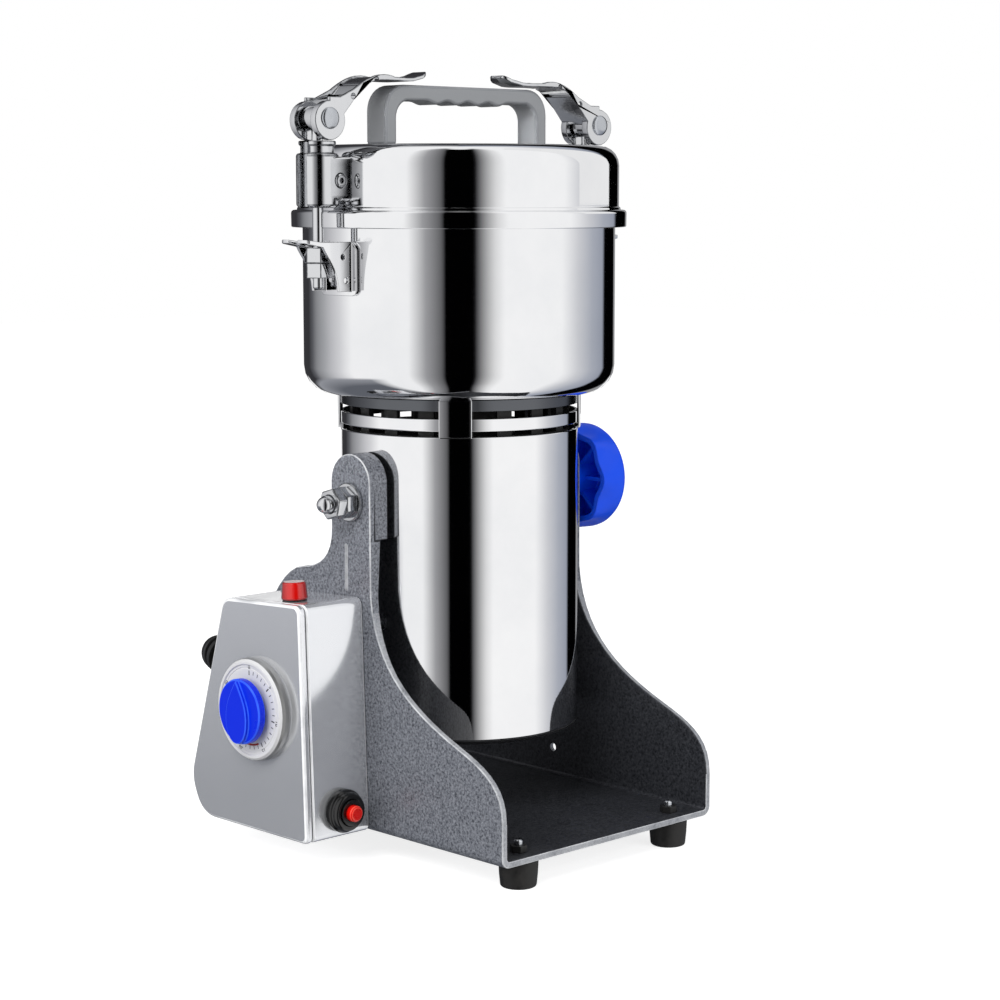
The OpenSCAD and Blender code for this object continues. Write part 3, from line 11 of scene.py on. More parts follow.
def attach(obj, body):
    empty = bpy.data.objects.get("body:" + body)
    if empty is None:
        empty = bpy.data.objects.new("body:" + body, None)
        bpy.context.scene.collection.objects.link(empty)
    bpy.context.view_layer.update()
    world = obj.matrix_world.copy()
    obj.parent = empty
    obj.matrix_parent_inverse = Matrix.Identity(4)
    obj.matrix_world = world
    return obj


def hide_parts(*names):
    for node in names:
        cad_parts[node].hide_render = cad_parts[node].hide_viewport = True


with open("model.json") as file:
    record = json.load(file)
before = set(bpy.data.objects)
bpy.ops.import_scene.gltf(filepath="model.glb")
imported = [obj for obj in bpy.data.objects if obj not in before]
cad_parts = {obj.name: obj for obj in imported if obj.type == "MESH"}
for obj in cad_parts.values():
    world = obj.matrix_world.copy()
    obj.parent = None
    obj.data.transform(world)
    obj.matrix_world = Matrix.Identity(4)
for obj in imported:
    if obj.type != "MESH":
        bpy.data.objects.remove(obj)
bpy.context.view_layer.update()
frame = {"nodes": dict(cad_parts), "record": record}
MM = 0.001

# Camera and studio.
# A long lens stands at the left front, a little over the bowl. The floor and the air are white, and a
# ring of soft light and dark screens, seen only in reflections, gives the steel its stripes.
scene = bpy.context.scene
camera_at = Vector((-0.7759, -0.8283, 0.3052))
camera_aim = Vector((0.6903, 0.7123, -0.1271))
lens_length, sensor = 86.4, 36


def placed(name, data):
    """An object in the scene with that mesh, curve, lamp or camera."""
    piece = bpy.data.objects.new(name, data)
    scene.collection.objects.link(piece)
    return piece


camera = placed("camera", bpy.data.cameras.new("camera"))
camera.data.lens = lens_length
camera.data.sensor_width = sensor
camera.location = camera_at
camera.rotation_euler = camera_aim.to_track_quat("-Z", "Y").to_euler()
scene.camera = camera
scene.view_settings.view_transform = "Standard"


def add(tree, kind, sockets=None, **settings):
    """A node with its settings and sockets. A socket given as another node's output is linked."""
    node = tree.nodes.new(kind)
    for key, value in settings.items():
        setattr(node, key, value)
    for key, value in (sockets or {}).items():
        if isinstance(value, bpy.types.NodeSocket):
            tree.links.new(value, node.inputs[key])
        else:
            node.inputs[key].default_value = value
    return node


def tone(red, green=None, blue=None):
    """A screen colour, 0 to 255, as the linear colour that renders it."""
    parts = [red, red if green is None else green, red if blue is None else blue]
    return tuple((p / 255) ** 2.2 for p in parts) + (1.0,)


def reckon(tree, operation, *values):
    """A sum of numbers and of other nodes' outputs."""
    return add(tree, "ShaderNodeMath", dict(enumerate(values)), operation=operation).outputs[0]


def ranged(tree, value, low, high, to_low, to_high):
    """A value carried from one range over to another, and held at the ends."""
    node = add(tree, "ShaderNodeMapRange", {"Value": value, 1: low, 2: high, 3: to_low, 4: to_high})
    return node.outputs[0]


def mixed(tree, share, first, second, way="MIX"):
    """The first colour, turned into the second by a share from 0 to 1."""
    node = add(tree, "ShaderNodeMix", {0: share, 6: first, 7: second}, data_type="RGBA", blend_type=way)
    return node.outputs[2]


def blank(name):
    """A material with an empty tree of nodes."""
    material = bpy.data.materials.new(name)
    material.use_nodes = True
    material.node_tree.nodes.clear()
    return material, material.node_tree


def seen_rays(tree):
    """1 for rays that look at a surface directly, in a mirror or through glass."""
    path = add(tree, "ShaderNodeLightPath")
    both = reckon(tree, "MAXIMUM", path.outputs["Is Camera Ray"], path.outputs["Is Glossy Ray"])
    return reckon(tree, "MAXIMUM", both, path.outputs["Is Transmission Ray"])


def plain_light(name, at, size, power, aim=(0, 0, 0.18), spread=180):
    """A soft lamp that looks at the middle of the mill, or at another aim."""
    lamp = bpy.data.lights.new(name, "AREA")
    lamp.shape = "DISK"
    lamp.size = size
    lamp.energy = power
    lamp.spread = radians(spread)
    holder = placed(name, lamp)
    holder.location = at
    holder.rotation_euler = (Vector(aim) - Vector(at)).to_track_quat("-Z", "Y").to_euler()
    holder.visible_glossy = False


plain_light("key_lamp", (-1.5, -0.6, 1.5), 1.2, 30)
plain_light("front_lamp", (0.3, -1.9, 0.9), 1.2, 15)
plain_light("back_lamp", (1.2, 1.4, 1.3), 1.2, 8)
plain_light("side_lamp", (-2.0, 0.5, 0.7), 1.2, 17)
plain_light("handle_lamp", (-1.3, -0.15, 0.46), 0.15, 0.11, aim=(-0.05, 0, 0.34), spread=16)

world = bpy.data.worlds.new("white_air")
scene.world = world
world.use_nodes = True
world_tree = world.node_tree
world_tree.nodes.clear()
air_light, air_seen = 0.42, 1.0
air = add(world_tree, "ShaderNodeMix", {0: seen_rays(world_tree), 2: air_light, 3: air_seen},
          data_type="FLOAT")
sky = add(world_tree, "ShaderNodeBackground", {"Color": (1, 1, 1, 1), "Strength": air.outputs[0]})
add(world_tree, "ShaderNodeOutputWorld", {"Surface": sky.outputs[0]})

floor_size, floor_glow = 4.0, 0.8
floor_mesh = bpy.data.meshes.new("studio_floor")
floor_mesh.from_pydata([(x * floor_size, y * floor_size, 0)
                        for x, y in ((-1, -1), (1, -1), (1, 1), (-1, 1))], [], [(0, 1, 2, 3)])
floor = placed("studio_floor", floor_mesh)
floor.visible_glossy = False
floor_paint, tree = blank("floor_white")
matt = add(tree, "ShaderNodeBsdfDiffuse", {"Color": (0.5, 0.5, 0.5, 1)})
glow_level = reckon(tree, "MULTIPLY", seen_rays(tree), floor_glow)
glow = add(tree, "ShaderNodeEmission", {"Color": (1, 1, 1, 1), "Strength": glow_level})
sum_up = add(tree, "ShaderNodeAddShader", {0: matt.outputs[0], 1: glow.outputs[0]})
add(tree, "ShaderNodeOutputMaterial", {"Surface": sum_up.outputs[0]})
floor_mesh.materials.append(floor_paint)

screen_r, screen_low, screen_high = 0.3, -1.4, 1.6
camera_bearing = degrees(atan2(camera_at.y, camera_at.x))
around = 96
rim = [(screen_r * cos(2 * pi * i / around), screen_r * sin(2 * pi * i / around)) for i in range(around)]
corners = [(x, y, z) for z in (screen_low, screen_high) for x, y in rim]
corners += [(0, 0, screen_low), (0, 0, screen_high)]
beside = [(i, (i + 1) % around) for i in range(around)]
walls = [(i, j, around + j, around + i) for i, j in beside]
caps = [(j + k * around, i + k * around, 2 * around + k) for k in (0, 1) for i, j in beside]
screens = bpy.data.meshes.new("reflected_screens")
screens.from_pydata(corners, [], walls + caps)
screen_ring = placed("reflected_screens", screens)
screen_ring.visible_camera = False
screen_ring.visible_diffuse = False
screen_ring.visible_shadow = False
screen_ring.visible_transmission = False
# Reflected angle from the camera's side to the right, and the colour, close to grey, that stands there
stripes = [
    (-180, 60, 60, 62), (-146, 56, 56, 59), (-137, 92, 93, 97), (-129, 136, 137, 140), (-117, 166, 167, 170),
    (-107, 194, 194, 197), (-97, 217, 217, 219), (-85, 252, 252, 252), (-37, 252, 252, 252),
    (-24, 160, 160, 162), (-12, 95, 95, 97), (-10, 6, 6, 7), (11, 6, 6, 7), (13, 82, 82, 84),
    (26, 225, 225, 225), (33, 252, 252, 252), (80, 252, 252, 252), (97, 208, 209, 213), (114, 172, 176, 186),
    (130, 152, 157, 170), (134, 8, 8, 9), (159, 8, 8, 9), (163, 150, 150, 152), (180, 80, 80, 82)]
bowl_wall_r = 73.3 * MM
screen_light, tree = blank("screen_light")
place = add(tree, "ShaderNodeTexCoord")
turned = add(tree, "ShaderNodeMapping", {"Vector": place.outputs["Object"],
                                         "Rotation": (0, 0, radians(-camera_bearing))})
parts = add(tree, "ShaderNodeSeparateXYZ", {0: turned.outputs[0]})
bearing = reckon(tree, "ARCTAN2", parts.outputs["Y"], parts.outputs["X"])
# Above and below the wall of the bowl, the stripes fan out, and so run straight on over a rounded edge
upright_from, upright_to = 0.04, 0.31
flat = add(tree, "ShaderNodeCombineXYZ", {"X": parts.outputs["X"], "Y": parts.outputs["Y"]})
reach = add(tree, "ShaderNodeVectorMath", {0: flat.outputs[0]}, operation="LENGTH")
over = reckon(tree, "SUBTRACT", parts.outputs["Z"], upright_to)
under = reckon(tree, "SUBTRACT", upright_from, parts.outputs["Z"])
climb = reckon(tree, "MAXIMUM", reckon(tree, "MAXIMUM", over, under), 0.0)
sight = add(tree, "ShaderNodeCombineXYZ", {"X": reach.outputs["Value"], "Y": climb})
way_off = add(tree, "ShaderNodeVectorMath", {0: sight.outputs[0]}, operation="LENGTH")
twice = reckon(tree, "MULTIPLY", reach.outputs["Value"], 2.0)
total = reckon(tree, "ADD", reach.outputs["Value"], way_off.outputs["Value"])
fan_out = reckon(tree, "DIVIDE", twice, total)
spread = reckon(tree, "MULTIPLY", bearing, fan_out)
share = ranged(tree, spread, -pi, pi, 0.0, 1.0)
ramp = add(tree, "ShaderNodeValToRGB", {"Fac": share})
while len(ramp.color_ramp.elements) > 1:
    ramp.color_ramp.elements.remove(ramp.color_ramp.elements[0])
for i, (angle, *grey) in enumerate(stripes):
    # The ring is close, so a stripe stands a little nearer to the camera's side than it would far away
    nearer = degrees(asin(bowl_wall_r / screen_r * sin(radians(angle / 2)))) if abs(angle) < 180 else 0
    stands = (angle - nearer + 180) / 360
    stop = ramp.color_ramp.elements[0] if i == 0 else ramp.color_ramp.elements.new(stands)
    stop.position = stands
    stop.color = tone(*grey)
# A grey screen stands low on the left, where only the box and the base see it
grey_fade, grey_right, grey_foot = (0.1, 0.13), (radians(-64), radians(-50)), -0.02
low = ranged(tree, parts.outputs["Z"], *grey_fade, 1.0, 0.0)
left = ranged(tree, bearing, *grey_right, 1.0, 0.0)
rise = ranged(tree, parts.outputs["Z"], grey_foot, grey_fade[0], 0.0, 1.0)
grey_fall = mixed(tree, rise, tone(97, 100, 107), tone(146, 148, 154))
screen_tone = mixed(tree, reckon(tree, "MULTIPLY", low, left), ramp.outputs[0], grey_fall)
# A white screen high on the right is for the right latch, and one low at the back for the top of the
# box. Each has the middle and the half of its width in degrees, and of its height in metres
round_back = reckon(tree, "ABSOLUTE", bearing)
white_screens = [(bearing, 103, 19, 0.8, 0.502), (round_back, 165, 16, 0.157, 0.018)]
for seen_at, middle, wide, height, tall in white_screens:
    across = reckon(tree, "COMPARE", seen_at, radians(middle), radians(wide))
    level = reckon(tree, "COMPARE", parts.outputs["Z"], height, tall)
    screen_tone = mixed(tree, reckon(tree, "MULTIPLY", across, level), screen_tone, tone(240))
# Straight above and below the air is white
zenith_r, zenith_end, screen_strength = 0.07, 0.12, 1.06
zenith = ranged(tree, reach.outputs["Value"], zenith_r, zenith_end, 1.0, 0.0)
screen_tone = mixed(tree, zenith, screen_tone, tone(250))
light = add(tree, "ShaderNodeEmission", {"Color": screen_tone, "Strength": screen_strength})
add(tree, "ShaderNodeOutputMaterial", {"Surface": light.outputs[0]})
screens.materials.append(screen_light)

# Mains cord.
# Black PVC lead, 7.2 mm thick and about 1.1 m long. It leaves the bend relief on the back wall of the
# box, drops to the table and lies in a coil of four loops behind the mill, held by a clip.
cord_d = 7.2
boot_at = Vector((-91.0, 57.6236, 85.5))
back_lean, back_h = 26.5, 89
boot_tip, boot_lean, boot_bend, boot_turn = degrees(atan(back_lean / back_h)), -50, 30, 74
coil_at, coil_r, coil_loops, coil_step, coil_dip = (44, 134), 38.4, 4, 7.5, 1.2
coil_pitch = cord_d + 0.6
coil_z = cord_d / 2 + 0.05
coil_in = coil_r - coil_pitch * (coil_loops - 0.5) / 4
coil_out = coil_r + coil_pitch * (coil_loops - 0.5) / 4
cord_land = coil_at[1] - coil_out


def elbow(point, angle):
    """A point at that angle round the bend of the relief, given where the bend begins."""
    down = Vector((0, 0, boot_bend))
    point = Matrix.Rotation(radians(-angle), 3, "X") @ (Vector(point) + down) - down
    return boot_at + Matrix.Rotation(radians(boot_tip), 3, "X") @ (
        Matrix.Rotation(radians(boot_lean), 3, "Y") @ point)


def spline(points, steps):
    """Smooth curve through the points."""
    curve = []
    for i in range(len(points) - 1):
        a, b, c, d = (points[max(i - 1, 0)], points[i], points[i + 1], points[min(i + 2, len(points) - 1)])
        for j in range(steps):
            t = j / steps
            curve.append(0.5 * (2 * b + (c - a) * t + (2 * a - 5 * b + 4 * c - d) * t * t
                                + (3 * b - a - 3 * c + d) * t ** 3))
    return curve + [points[-1]]


def coil_point(angle):
    """In on the table, up a layer while it reverses, and out again on top."""
    half = (coil_loops * 360 - 180) / 2
    if angle < half:
        radius, height = coil_out - (coil_out - coil_in) * angle / half, coil_z
    elif angle < half + 180:
        radius = coil_in - coil_dip * sin(radians(angle - half))
        height = coil_z + coil_pitch * (angle - half) / 180
    else:
        radius = coil_in + (coil_out - coil_in) * (angle - half - 180) / half
        height = coil_z + coil_pitch
    turn = radians(angle)
    return Vector((coil_at[0] + radius * sin(turn), coil_at[1] - radius * cos(turn), height))


cord_exit = elbow((0, 0.3, 0), boot_turn)
cord_heading = (elbow((0, 1, 0), boot_turn) - elbow((0, 0, 0), boot_turn)).normalized()
cord_route = [cord_exit + cord_heading * cord_d * k for k in (0, 0.5, 1)] + [Vector(p) for p in (
    (-62.6, 96.3, 70.7), (-57.8, 99.1, 63.3), (-54.8, 100.9, 54.7), (-53.7, 101.5, 45), (-53.5, 101.4, 35),
    (-51.3, 100.8, 25.5), (-46.2, 99.4, 16.6), (-38.6, 97.4, 9.6), (-29.2, 94.9, 5.2), (-18.8, 92.1, 3.75),
    (-6, 89.6, coil_z), (8, cord_land, coil_z), (coil_at[0] - 2 * cord_d, cord_land, coil_z),
    (coil_at[0] - cord_d, cord_land, coil_z))]
cord_line = spline(cord_route, 6)
cord_line += [coil_point(coil_step * i) for i in range(int(coil_loops * 360 / coil_step) + 1)]
cord_line.append(Vector((coil_at[0] + cord_d, cord_land, coil_z + coil_pitch)))
cord_line = [p * MM for p in cord_line]

cord_curve = bpy.data.curves.new("cord", "CURVE")
cord_curve.dimensions = "3D"
cord_curve.bevel_depth = cord_d / 2 * MM
cord_curve.bevel_resolution = 5
cord_curve.use_fill_caps = True
strand = cord_curve.splines.new("POLY")
strand.points.add(len(cord_line) - 1)
for point, at in zip(strand.points, cord_line):
    point.co = (*at, 1)
strand.use_smooth = True
cord = placed("cord", cord_curve)


def finish(name, colour, roughness, metallic=0.0, **more):
    """A material with one shader. More names are further sockets of the shader, as it spells them."""
    material, tree = blank(name)
    shader = add(tree, "ShaderNodeBsdfPrincipled",
                 {"Base Color": colour, "Roughness": roughness, "Metallic": metallic})
    for key, value in more.items():
        shader.inputs[key.replace("_", " ")].default_value = value
    add(tree, "ShaderNodeOutputMaterial", {"Surface": shader.outputs[0]})
    return material, tree, shader


def effect(name, inputs, outputs):
    """An empty group of shader nodes with named sockets, and its two end nodes."""
    group = bpy.data.node_groups.new(name, "ShaderNodeTree")
    for side, sockets in (("INPUT", inputs), ("OUTPUT", outputs)):
        for label, kind in sockets:
            group.interface.new_socket(label, in_out=side, socket_type="NodeSocket" + kind)
    return group, add(group, "NodeGroupInput"), add(group, "NodeGroupOutput")


def use(tree, group, values):
    """A group placed in a material with its own values."""
    return add(tree, "ShaderNodeGroup", values, node_tree=group)


# Handling: soft smudges that vary how rough and how clean a surface is
handling, given, result = effect("handling", [("Size", "Float"), ("Least", "Float"), ("Most", "Float")],
                                 [("Roughness", "Float"), ("Mask", "Float")])
spot = add(handling, "ShaderNodeTexCoord")
cloud = add(handling, "ShaderNodeTexNoise", {"Vector": spot.outputs["Object"], "Detail": 5.0,
                                             "Scale": given.outputs["Size"], "Roughness": 0.6})
spread = ranged(handling, cloud.outputs[0], 0.34, 0.68, given.outputs["Least"], given.outputs["Most"])
level = ranged(handling, cloud.outputs[0], 0.34, 0.68, 0.0, 1.0)
handling.links.new(spread, result.inputs["Roughness"])
handling.links.new(level, result.inputs["Mask"])

# Grain: fine bumps of a moulded, painted or cast skin
grain, given, result = effect("grain", [("Size", "Float"), ("Depth", "Float")],
                              [("Normal", "Vector"), ("Height", "Float")])
spot = add(grain, "ShaderNodeTexCoord")
pits = add(grain, "ShaderNodeTexNoise", {"Vector": spot.outputs["Object"], "Scale": given.outputs["Size"],
                                         "Detail": 3.0})
raised = add(grain, "ShaderNodeBump", {"Height": pits.outputs[0], "Strength": given.outputs["Depth"],
                                       "Distance": 0.0002})
grain.links.new(raised.outputs[0], result.inputs["Normal"])
grain.links.new(pits.outputs[0], result.inputs["Height"])


def handled(shader, size, least, most):
    """Handling that varies the roughness of a finish."""
    rub = use(shader.id_data, handling, {"Size": size, "Least": least, "Most": most})
    shader.id_data.links.new(rub.outputs["Roughness"], shader.inputs["Roughness"])
    return rub


def skinned(shader, size, depth):
    """Grain on a finish."""
    skin = use(shader.id_data, grain, {"Size": size, "Depth": depth})
    shader.id_data.links.new(skin.outputs["Normal"], shader.inputs["Normal"])


cord_pvc, tree, shader = finish("cord_pvc", tone(26), 0.45, Specular_IOR_Level=0.4)
rub = handled(shader, 60.0, 0.36, 0.58)
skinned(shader, 2600.0, 0.25)
dusty = mixed(tree, rub.outputs["Mask"], tone(22), tone(38, 38, 40))
tree.links.new(dusty, shader.inputs["Base Color"])
cord_curve.materials.append(cord_pvc)
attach(cord, "base")
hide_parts("mains_cord", "cord_coil")


def body_of(node):
    """The body that carries a CAD piece."""
    return next(body for body, members in frame["record"]["behaviour"]["bodies"].items() if node in members)


def stand_for(piece, *nodes):
    """The piece takes the place and the body of these CAD pieces."""
    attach(piece, body_of(nodes[0]))
    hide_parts(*nodes)
    return piece


def even(piece, sharp=50):
    """Smooth shading that leaves flat faces flat, with the edges sharper than that angle kept."""
    mesh = piece.data
    bm = bmesh.new()
    bm.from_mesh(mesh)
    for face in bm.faces:
        face.smooth = True
    for edge in bm.edges:
        if len(edge.link_faces) == 2 and edge.calc_face_angle(0) > radians(sharp):
            edge.smooth = False
    bm.to_mesh(mesh)
    bm.free()
    piece.modifiers.new("flat faces", "WEIGHTED_NORMAL").keep_sharp = True
    return piece


def eased(node, material, ease, corner=30, steps=2):
    """A copy of a CAD piece with its sharp edges rounded, as filing, tumbling or moulding leaves them.
    The rounding carries 1 in the attribute worn, which the finishes read for their edge colour: wear on
    some, a painted highlight on some and painted shade on others."""
    source = frame["nodes"][node].data
    mesh = bpy.data.meshes.new(node + "_piece")
    mesh.from_pydata([v.co for v in source.vertices], [], [p.vertices[:] for p in source.polygons])
    bm = bmesh.new()
    bm.from_mesh(mesh)
    same_place, flat = 2e-6, radians(0.6)
    bmesh.ops.remove_doubles(bm, verts=bm.verts, dist=same_place)
    bmesh.ops.dissolve_limit(bm, angle_limit=flat, verts=bm.verts, edges=bm.edges)
    worn = bm.faces.layers.float.new("worn")
    edges = [e for e in bm.edges if len(e.link_faces) == 2 and e.calc_face_angle(0) > radians(corner)]
    made = bmesh.ops.bevel(bm, geom=edges, offset=ease * MM, offset_type="OFFSET", segments=steps,
                           profile=0.5, affect="EDGES", clamp_overlap=False)
    for face in made["faces"]:
        face[worn] = 1.0
    bm.to_mesh(mesh)
    bm.free()
    piece = placed(node + "_piece", mesh)
    mesh.materials.append(material)
    even(piece)
    return stand_for(piece, node)


# The plug is moulded on in one black piece, with two flat pins and an earth pin of brass
moulded_black, tree, shader = finish("moulded_black", tone(30), 0.42, Specular_IOR_Level=0.45)
handled(shader, 90.0, 0.3, 0.55)
skinned(shader, 1800.0, 0.2)
brass, tree, shader = finish("pin_brass", tone(214, 190, 128), 0.25, 1.0)
handled(shader, 300.0, 0.16, 0.4)
plug = eased("plug_body", moulded_black, 0.8)
pins = eased("plug_pins", brass, 0.4)
clip = eased("cord_tie", moulded_black, 0.5)

# Base.
# One steel sheet, cut, bent up into two cheeks and coated with grey hammertone enamel. The enamel wears
# thin on the edges, and the lighter line there is part wear and part painted highlight.

# Edge tint: a second colour on the rounded edges, broken up by noise. It is edge wear on some finishes, a
# painted highlight on some and painted shade on others
edge_wear, given, result = effect("edge_wear", [("Colour", "Color"), ("Edge Colour", "Color"),
                                                ("Amount", "Float"), ("Size", "Float")],
                                  [("Colour", "Color"), ("Mask", "Float")])
spot = add(edge_wear, "ShaderNodeTexCoord")
edge_breakup = add(edge_wear, "ShaderNodeTexNoise", {"Vector": spot.outputs["Object"],
                                              "Scale": given.outputs["Size"], "Detail": 4.0})
edge_share = ranged(edge_wear, edge_breakup.outputs[0], 0.3, 0.6, 0.35, 1.0)
rounding = add(edge_wear, "ShaderNodeAttribute", attribute_name="worn")
mask = reckon(edge_wear, "MULTIPLY", rounding.outputs["Fac"], edge_share)
mask = reckon(edge_wear, "MULTIPLY", mask, given.outputs["Amount"])
blend = mixed(edge_wear, mask, given.outputs["Colour"], given.outputs["Edge Colour"])
edge_wear.links.new(blend, result.inputs["Colour"])
edge_wear.links.new(mask, result.inputs["Mask"])

hammertone, tree, shader = finish("hammertone_enamel", tone(104), 0.4, 0.3, Coat_Weight=0.3,
                                  Coat_Roughness=0.2)
spot = add(tree, "ShaderNodeTexCoord")
cells = add(tree, "ShaderNodeTexVoronoi", {"Vector": spot.outputs["Object"], "Scale": 520.0,
                                           "Randomness": 1.0}, feature="SMOOTH_F1")
flakes = add(tree, "ShaderNodeTexNoise", {"Vector": spot.outputs["Object"], "Scale": 820.0, "Detail": 4.0,
                                          "Roughness": 0.7})
speck = add(tree, "ShaderNodeValToRGB", {"Fac": flakes.outputs[0]})
dark_fleck, light_fleck = speck.color_ramp.elements
dark_fleck.position, dark_fleck.color = 0.36, tone(62, 64, 70)
light_fleck.position, light_fleck.color = 0.7, tone(150, 153, 160)
middle = speck.color_ramp.elements.new(0.45)
middle.color = tone(104, 107, 115)
# The light edge colour is edge wear and painted highlight together
edge = use(tree, edge_wear, {"Colour": speck.outputs[0], "Edge Colour": tone(214, 216, 219), "Amount": 0.9,
                             "Size": 90.0})
# Between the cheeks the enamel is darkened: painted shade where the cheeks shut out the light
inner = add(tree, "ShaderNodeAttribute", attribute_name="inside")
painted_shade_tint = (0.21, 0.21, 0.215, 1)
painted_shade_coat = mixed(tree, 1.0, speck.outputs[0], painted_shade_tint, "MULTIPLY")
enamel_with_painted_shade = mixed(tree, inner.outputs["Fac"], edge.outputs["Colour"], painted_shade_coat)
tree.links.new(enamel_with_painted_shade, shader.inputs["Base Color"])
height = reckon(tree, "ADD", cells.outputs[0], flakes.outputs[0])
dimple = add(tree, "ShaderNodeBump", {"Height": height, "Strength": 0.35, "Distance": 0.0006})
tree.links.new(dimple.outputs[0], shader.inputs["Normal"])
handled(shader, 40.0, 0.3, 0.5)
base = eased("base_frame", hammertone, 0.5)
cheek_inner, floor_lip, base_front, front_cut, cut_edge_light = 66.2, 15.0, -99.8, -99.9, 0.5
rounding = base.data.attributes["worn"].data
# The attribute inside marks the inward faces between the cheeks, which the enamel darkens as painted shade
inside = base.data.attributes.new("inside", "FLOAT", "FACE").data
for face in base.data.polygons:
    at, way = face.center / MM, face.normal
    between = abs(at.x) < cheek_inner and at.z > floor_lip and at.y > base_front
    turned_in = rounding[face.index].value or abs(way.x) > 0.5 or (way.z > 0.5 and at.z < 2 * floor_lip)
    inside[face.index].value = 1.0 if between and turned_in else 0.0
    # The cut edge of the sheet gets half the light edge colour all round, as wear and painted highlight
    cut_edge = at.y < front_cut or (abs(at.x) > cheek_inner and abs(way.x) < 0.3 and at.z > floor_lip)
    if cut_edge and not rounding[face.index].value:
        rounding[face.index].value = cut_edge_light

# Feet.
# Four black rubber feet, each held by a screw from below and a nut on the floor of the base. The nuts
# are blackened, and only the tips of the screws shine.
foot_h, foot_d, foot_screw_d = 12.5, 18, 4
foot_places = [(x, y, 0) for x in (-49.5, 49.5) for y in (-90.5, 66.5)]


def rounded(corners, steps=5):
    """Outline with each corner, given as (x, y, radius), rounded by an arc."""
    outline = []
    for i, (x, y, radius) in enumerate(corners):
        here = Vector((x, y))
        if not radius:
            outline.append(here)
            continue
        back = (Vector(corners[i - 1][:2]) - here).normalized()
        on = (Vector(corners[(i + 1) % len(corners)][:2]) - here).normalized()
        half = back.angle(on) / 2
        middle = here + (back + on).normalized() * radius / sin(half)
        start = here + back * radius * cos(half) / sin(half) - middle
        turn = (pi - 2 * half) * (-1 if back.cross(on) > 0 else 1)
        outline += [middle + Matrix.Rotation(turn * k / steps, 2) @ start for k in range(steps + 1)]
    return outline


def lathe(name, outline, material, segments=192, place=None):
    """A turned piece. The outline is (radius, height, fillet), round a section that is closed on itself."""
    section = rounded(outline)
    rings = len(section)
    bm = bmesh.new()
    rows = []
    for k in range(segments):
        c, s = cos(2 * pi * k / segments), sin(2 * pi * k / segments)
        rows.append([bm.verts.new((p.x * c * MM, p.x * s * MM, p.y * MM)) for p in section])
    for k in range(segments):
        here, there = rows[k], rows[(k + 1) % segments]
        for i in range(rings):
            j = (i + 1) % rings
            bm.faces.new((here[i], there[i], there[j], here[j]))
    bmesh.ops.remove_doubles(bm, verts=bm.verts, dist=1e-6)
    bmesh.ops.recalc_face_normals(bm, faces=bm.faces)
    mesh = bpy.data.meshes.new(name)
    if place:
        bmesh.ops.transform(bm, matrix=place, verts=bm.verts)
    bm.to_mesh(mesh)
    bm.free()
    mesh.materials.append(material)
    return even(placed(name, mesh))


def growth(name, inputs):
    """An empty tree of geometry nodes with a geometry in and out, more named inputs, and its end nodes."""
    tree = bpy.data.node_groups.new(name, "GeometryNodeTree")
    tree.interface.new_socket("Geometry", in_out="INPUT", socket_type="NodeSocketGeometry")
    for label, kind in inputs:
        tree.interface.new_socket(label, in_out="INPUT", socket_type="NodeSocket" + kind)
    tree.interface.new_socket("Geometry", in_out="OUTPUT", socket_type="NodeSocketGeometry")
    return tree, add(tree, "NodeGroupInput"), add(tree, "NodeGroupOutput")


def grown(piece, tree, **values):
    """The plain mesh that a tree makes of an object, with its inputs set by the sockets' identifiers."""
    modifier = piece.modifiers.new(tree.name, "NODES")
    modifier.node_group = tree
    for item in tree.interface.items_tree:
        if item.in_out == "INPUT" and item.name in values:
            modifier[item.identifier] = values[item.name]
    scene.view_layers[0].update()
    mesh = bpy.data.meshes.new_from_object(piece.evaluated_get(bpy.context.evaluated_depsgraph_get()))
    name = piece.name
    bpy.data.objects.remove(piece)
    mesh.name = name
    return placed(name, mesh)


# One tree sets a pattern piece at each point of a mesh
set_at, given, result = growth("set_at_points", [("Pattern", "Object"), ("Material", "Material")])
pattern = add(set_at, "GeometryNodeObjectInfo", {"Object": given.outputs["Pattern"]})
each = add(set_at, "GeometryNodeInstanceOnPoints", {"Points": given.outputs["Geometry"],
                                                    "Instance": pattern.outputs["Geometry"]})
solid = add(set_at, "GeometryNodeRealizeInstances", {0: each.outputs[0]})
dressed = add(set_at, "GeometryNodeSetMaterial", {"Geometry": solid.outputs[0],
                                                  "Material": given.outputs["Material"]})
set_at.links.new(dressed.outputs[0], result.inputs[0])

foot_rubber, tree, shader = finish("foot_rubber", tone(30), 0.6, Specular_IOR_Level=0.35)
rub = handled(shader, 150.0, 0.45, 0.75)
dusty = mixed(tree, rub.outputs["Mask"], tone(24), tone(48, 47, 46))
tree.links.new(dusty, shader.inputs["Base Color"])
skinned(shader, 2200.0, 0.3)
foot_bore, recess, recess_h = foot_screw_d / 2 + 0.05, foot_screw_d + 0.6, 6
foot = lathe("foot_pattern", [
    (recess, 0, 0.4), (foot_d / 2 - 0.9, 0, 1.2), (foot_d / 2 - 0.3, foot_h * 0.5, 0),
    (foot_d / 2, foot_h, 0.5), (foot_bore, foot_h, 0), (foot_bore, recess_h, 0), (recess, recess_h, 0)],
    foot_rubber, 64)
points = bpy.data.meshes.new("rubber_feet_piece")
points.from_pydata([Vector(p) * MM for p in foot_places], [], [])
holder = placed("rubber_feet_piece", points)
feet = grown(holder, set_at, Pattern=foot, Material=foot_rubber)
bpy.data.objects.remove(foot)
stand_for(even(feet), "rubber_feet")


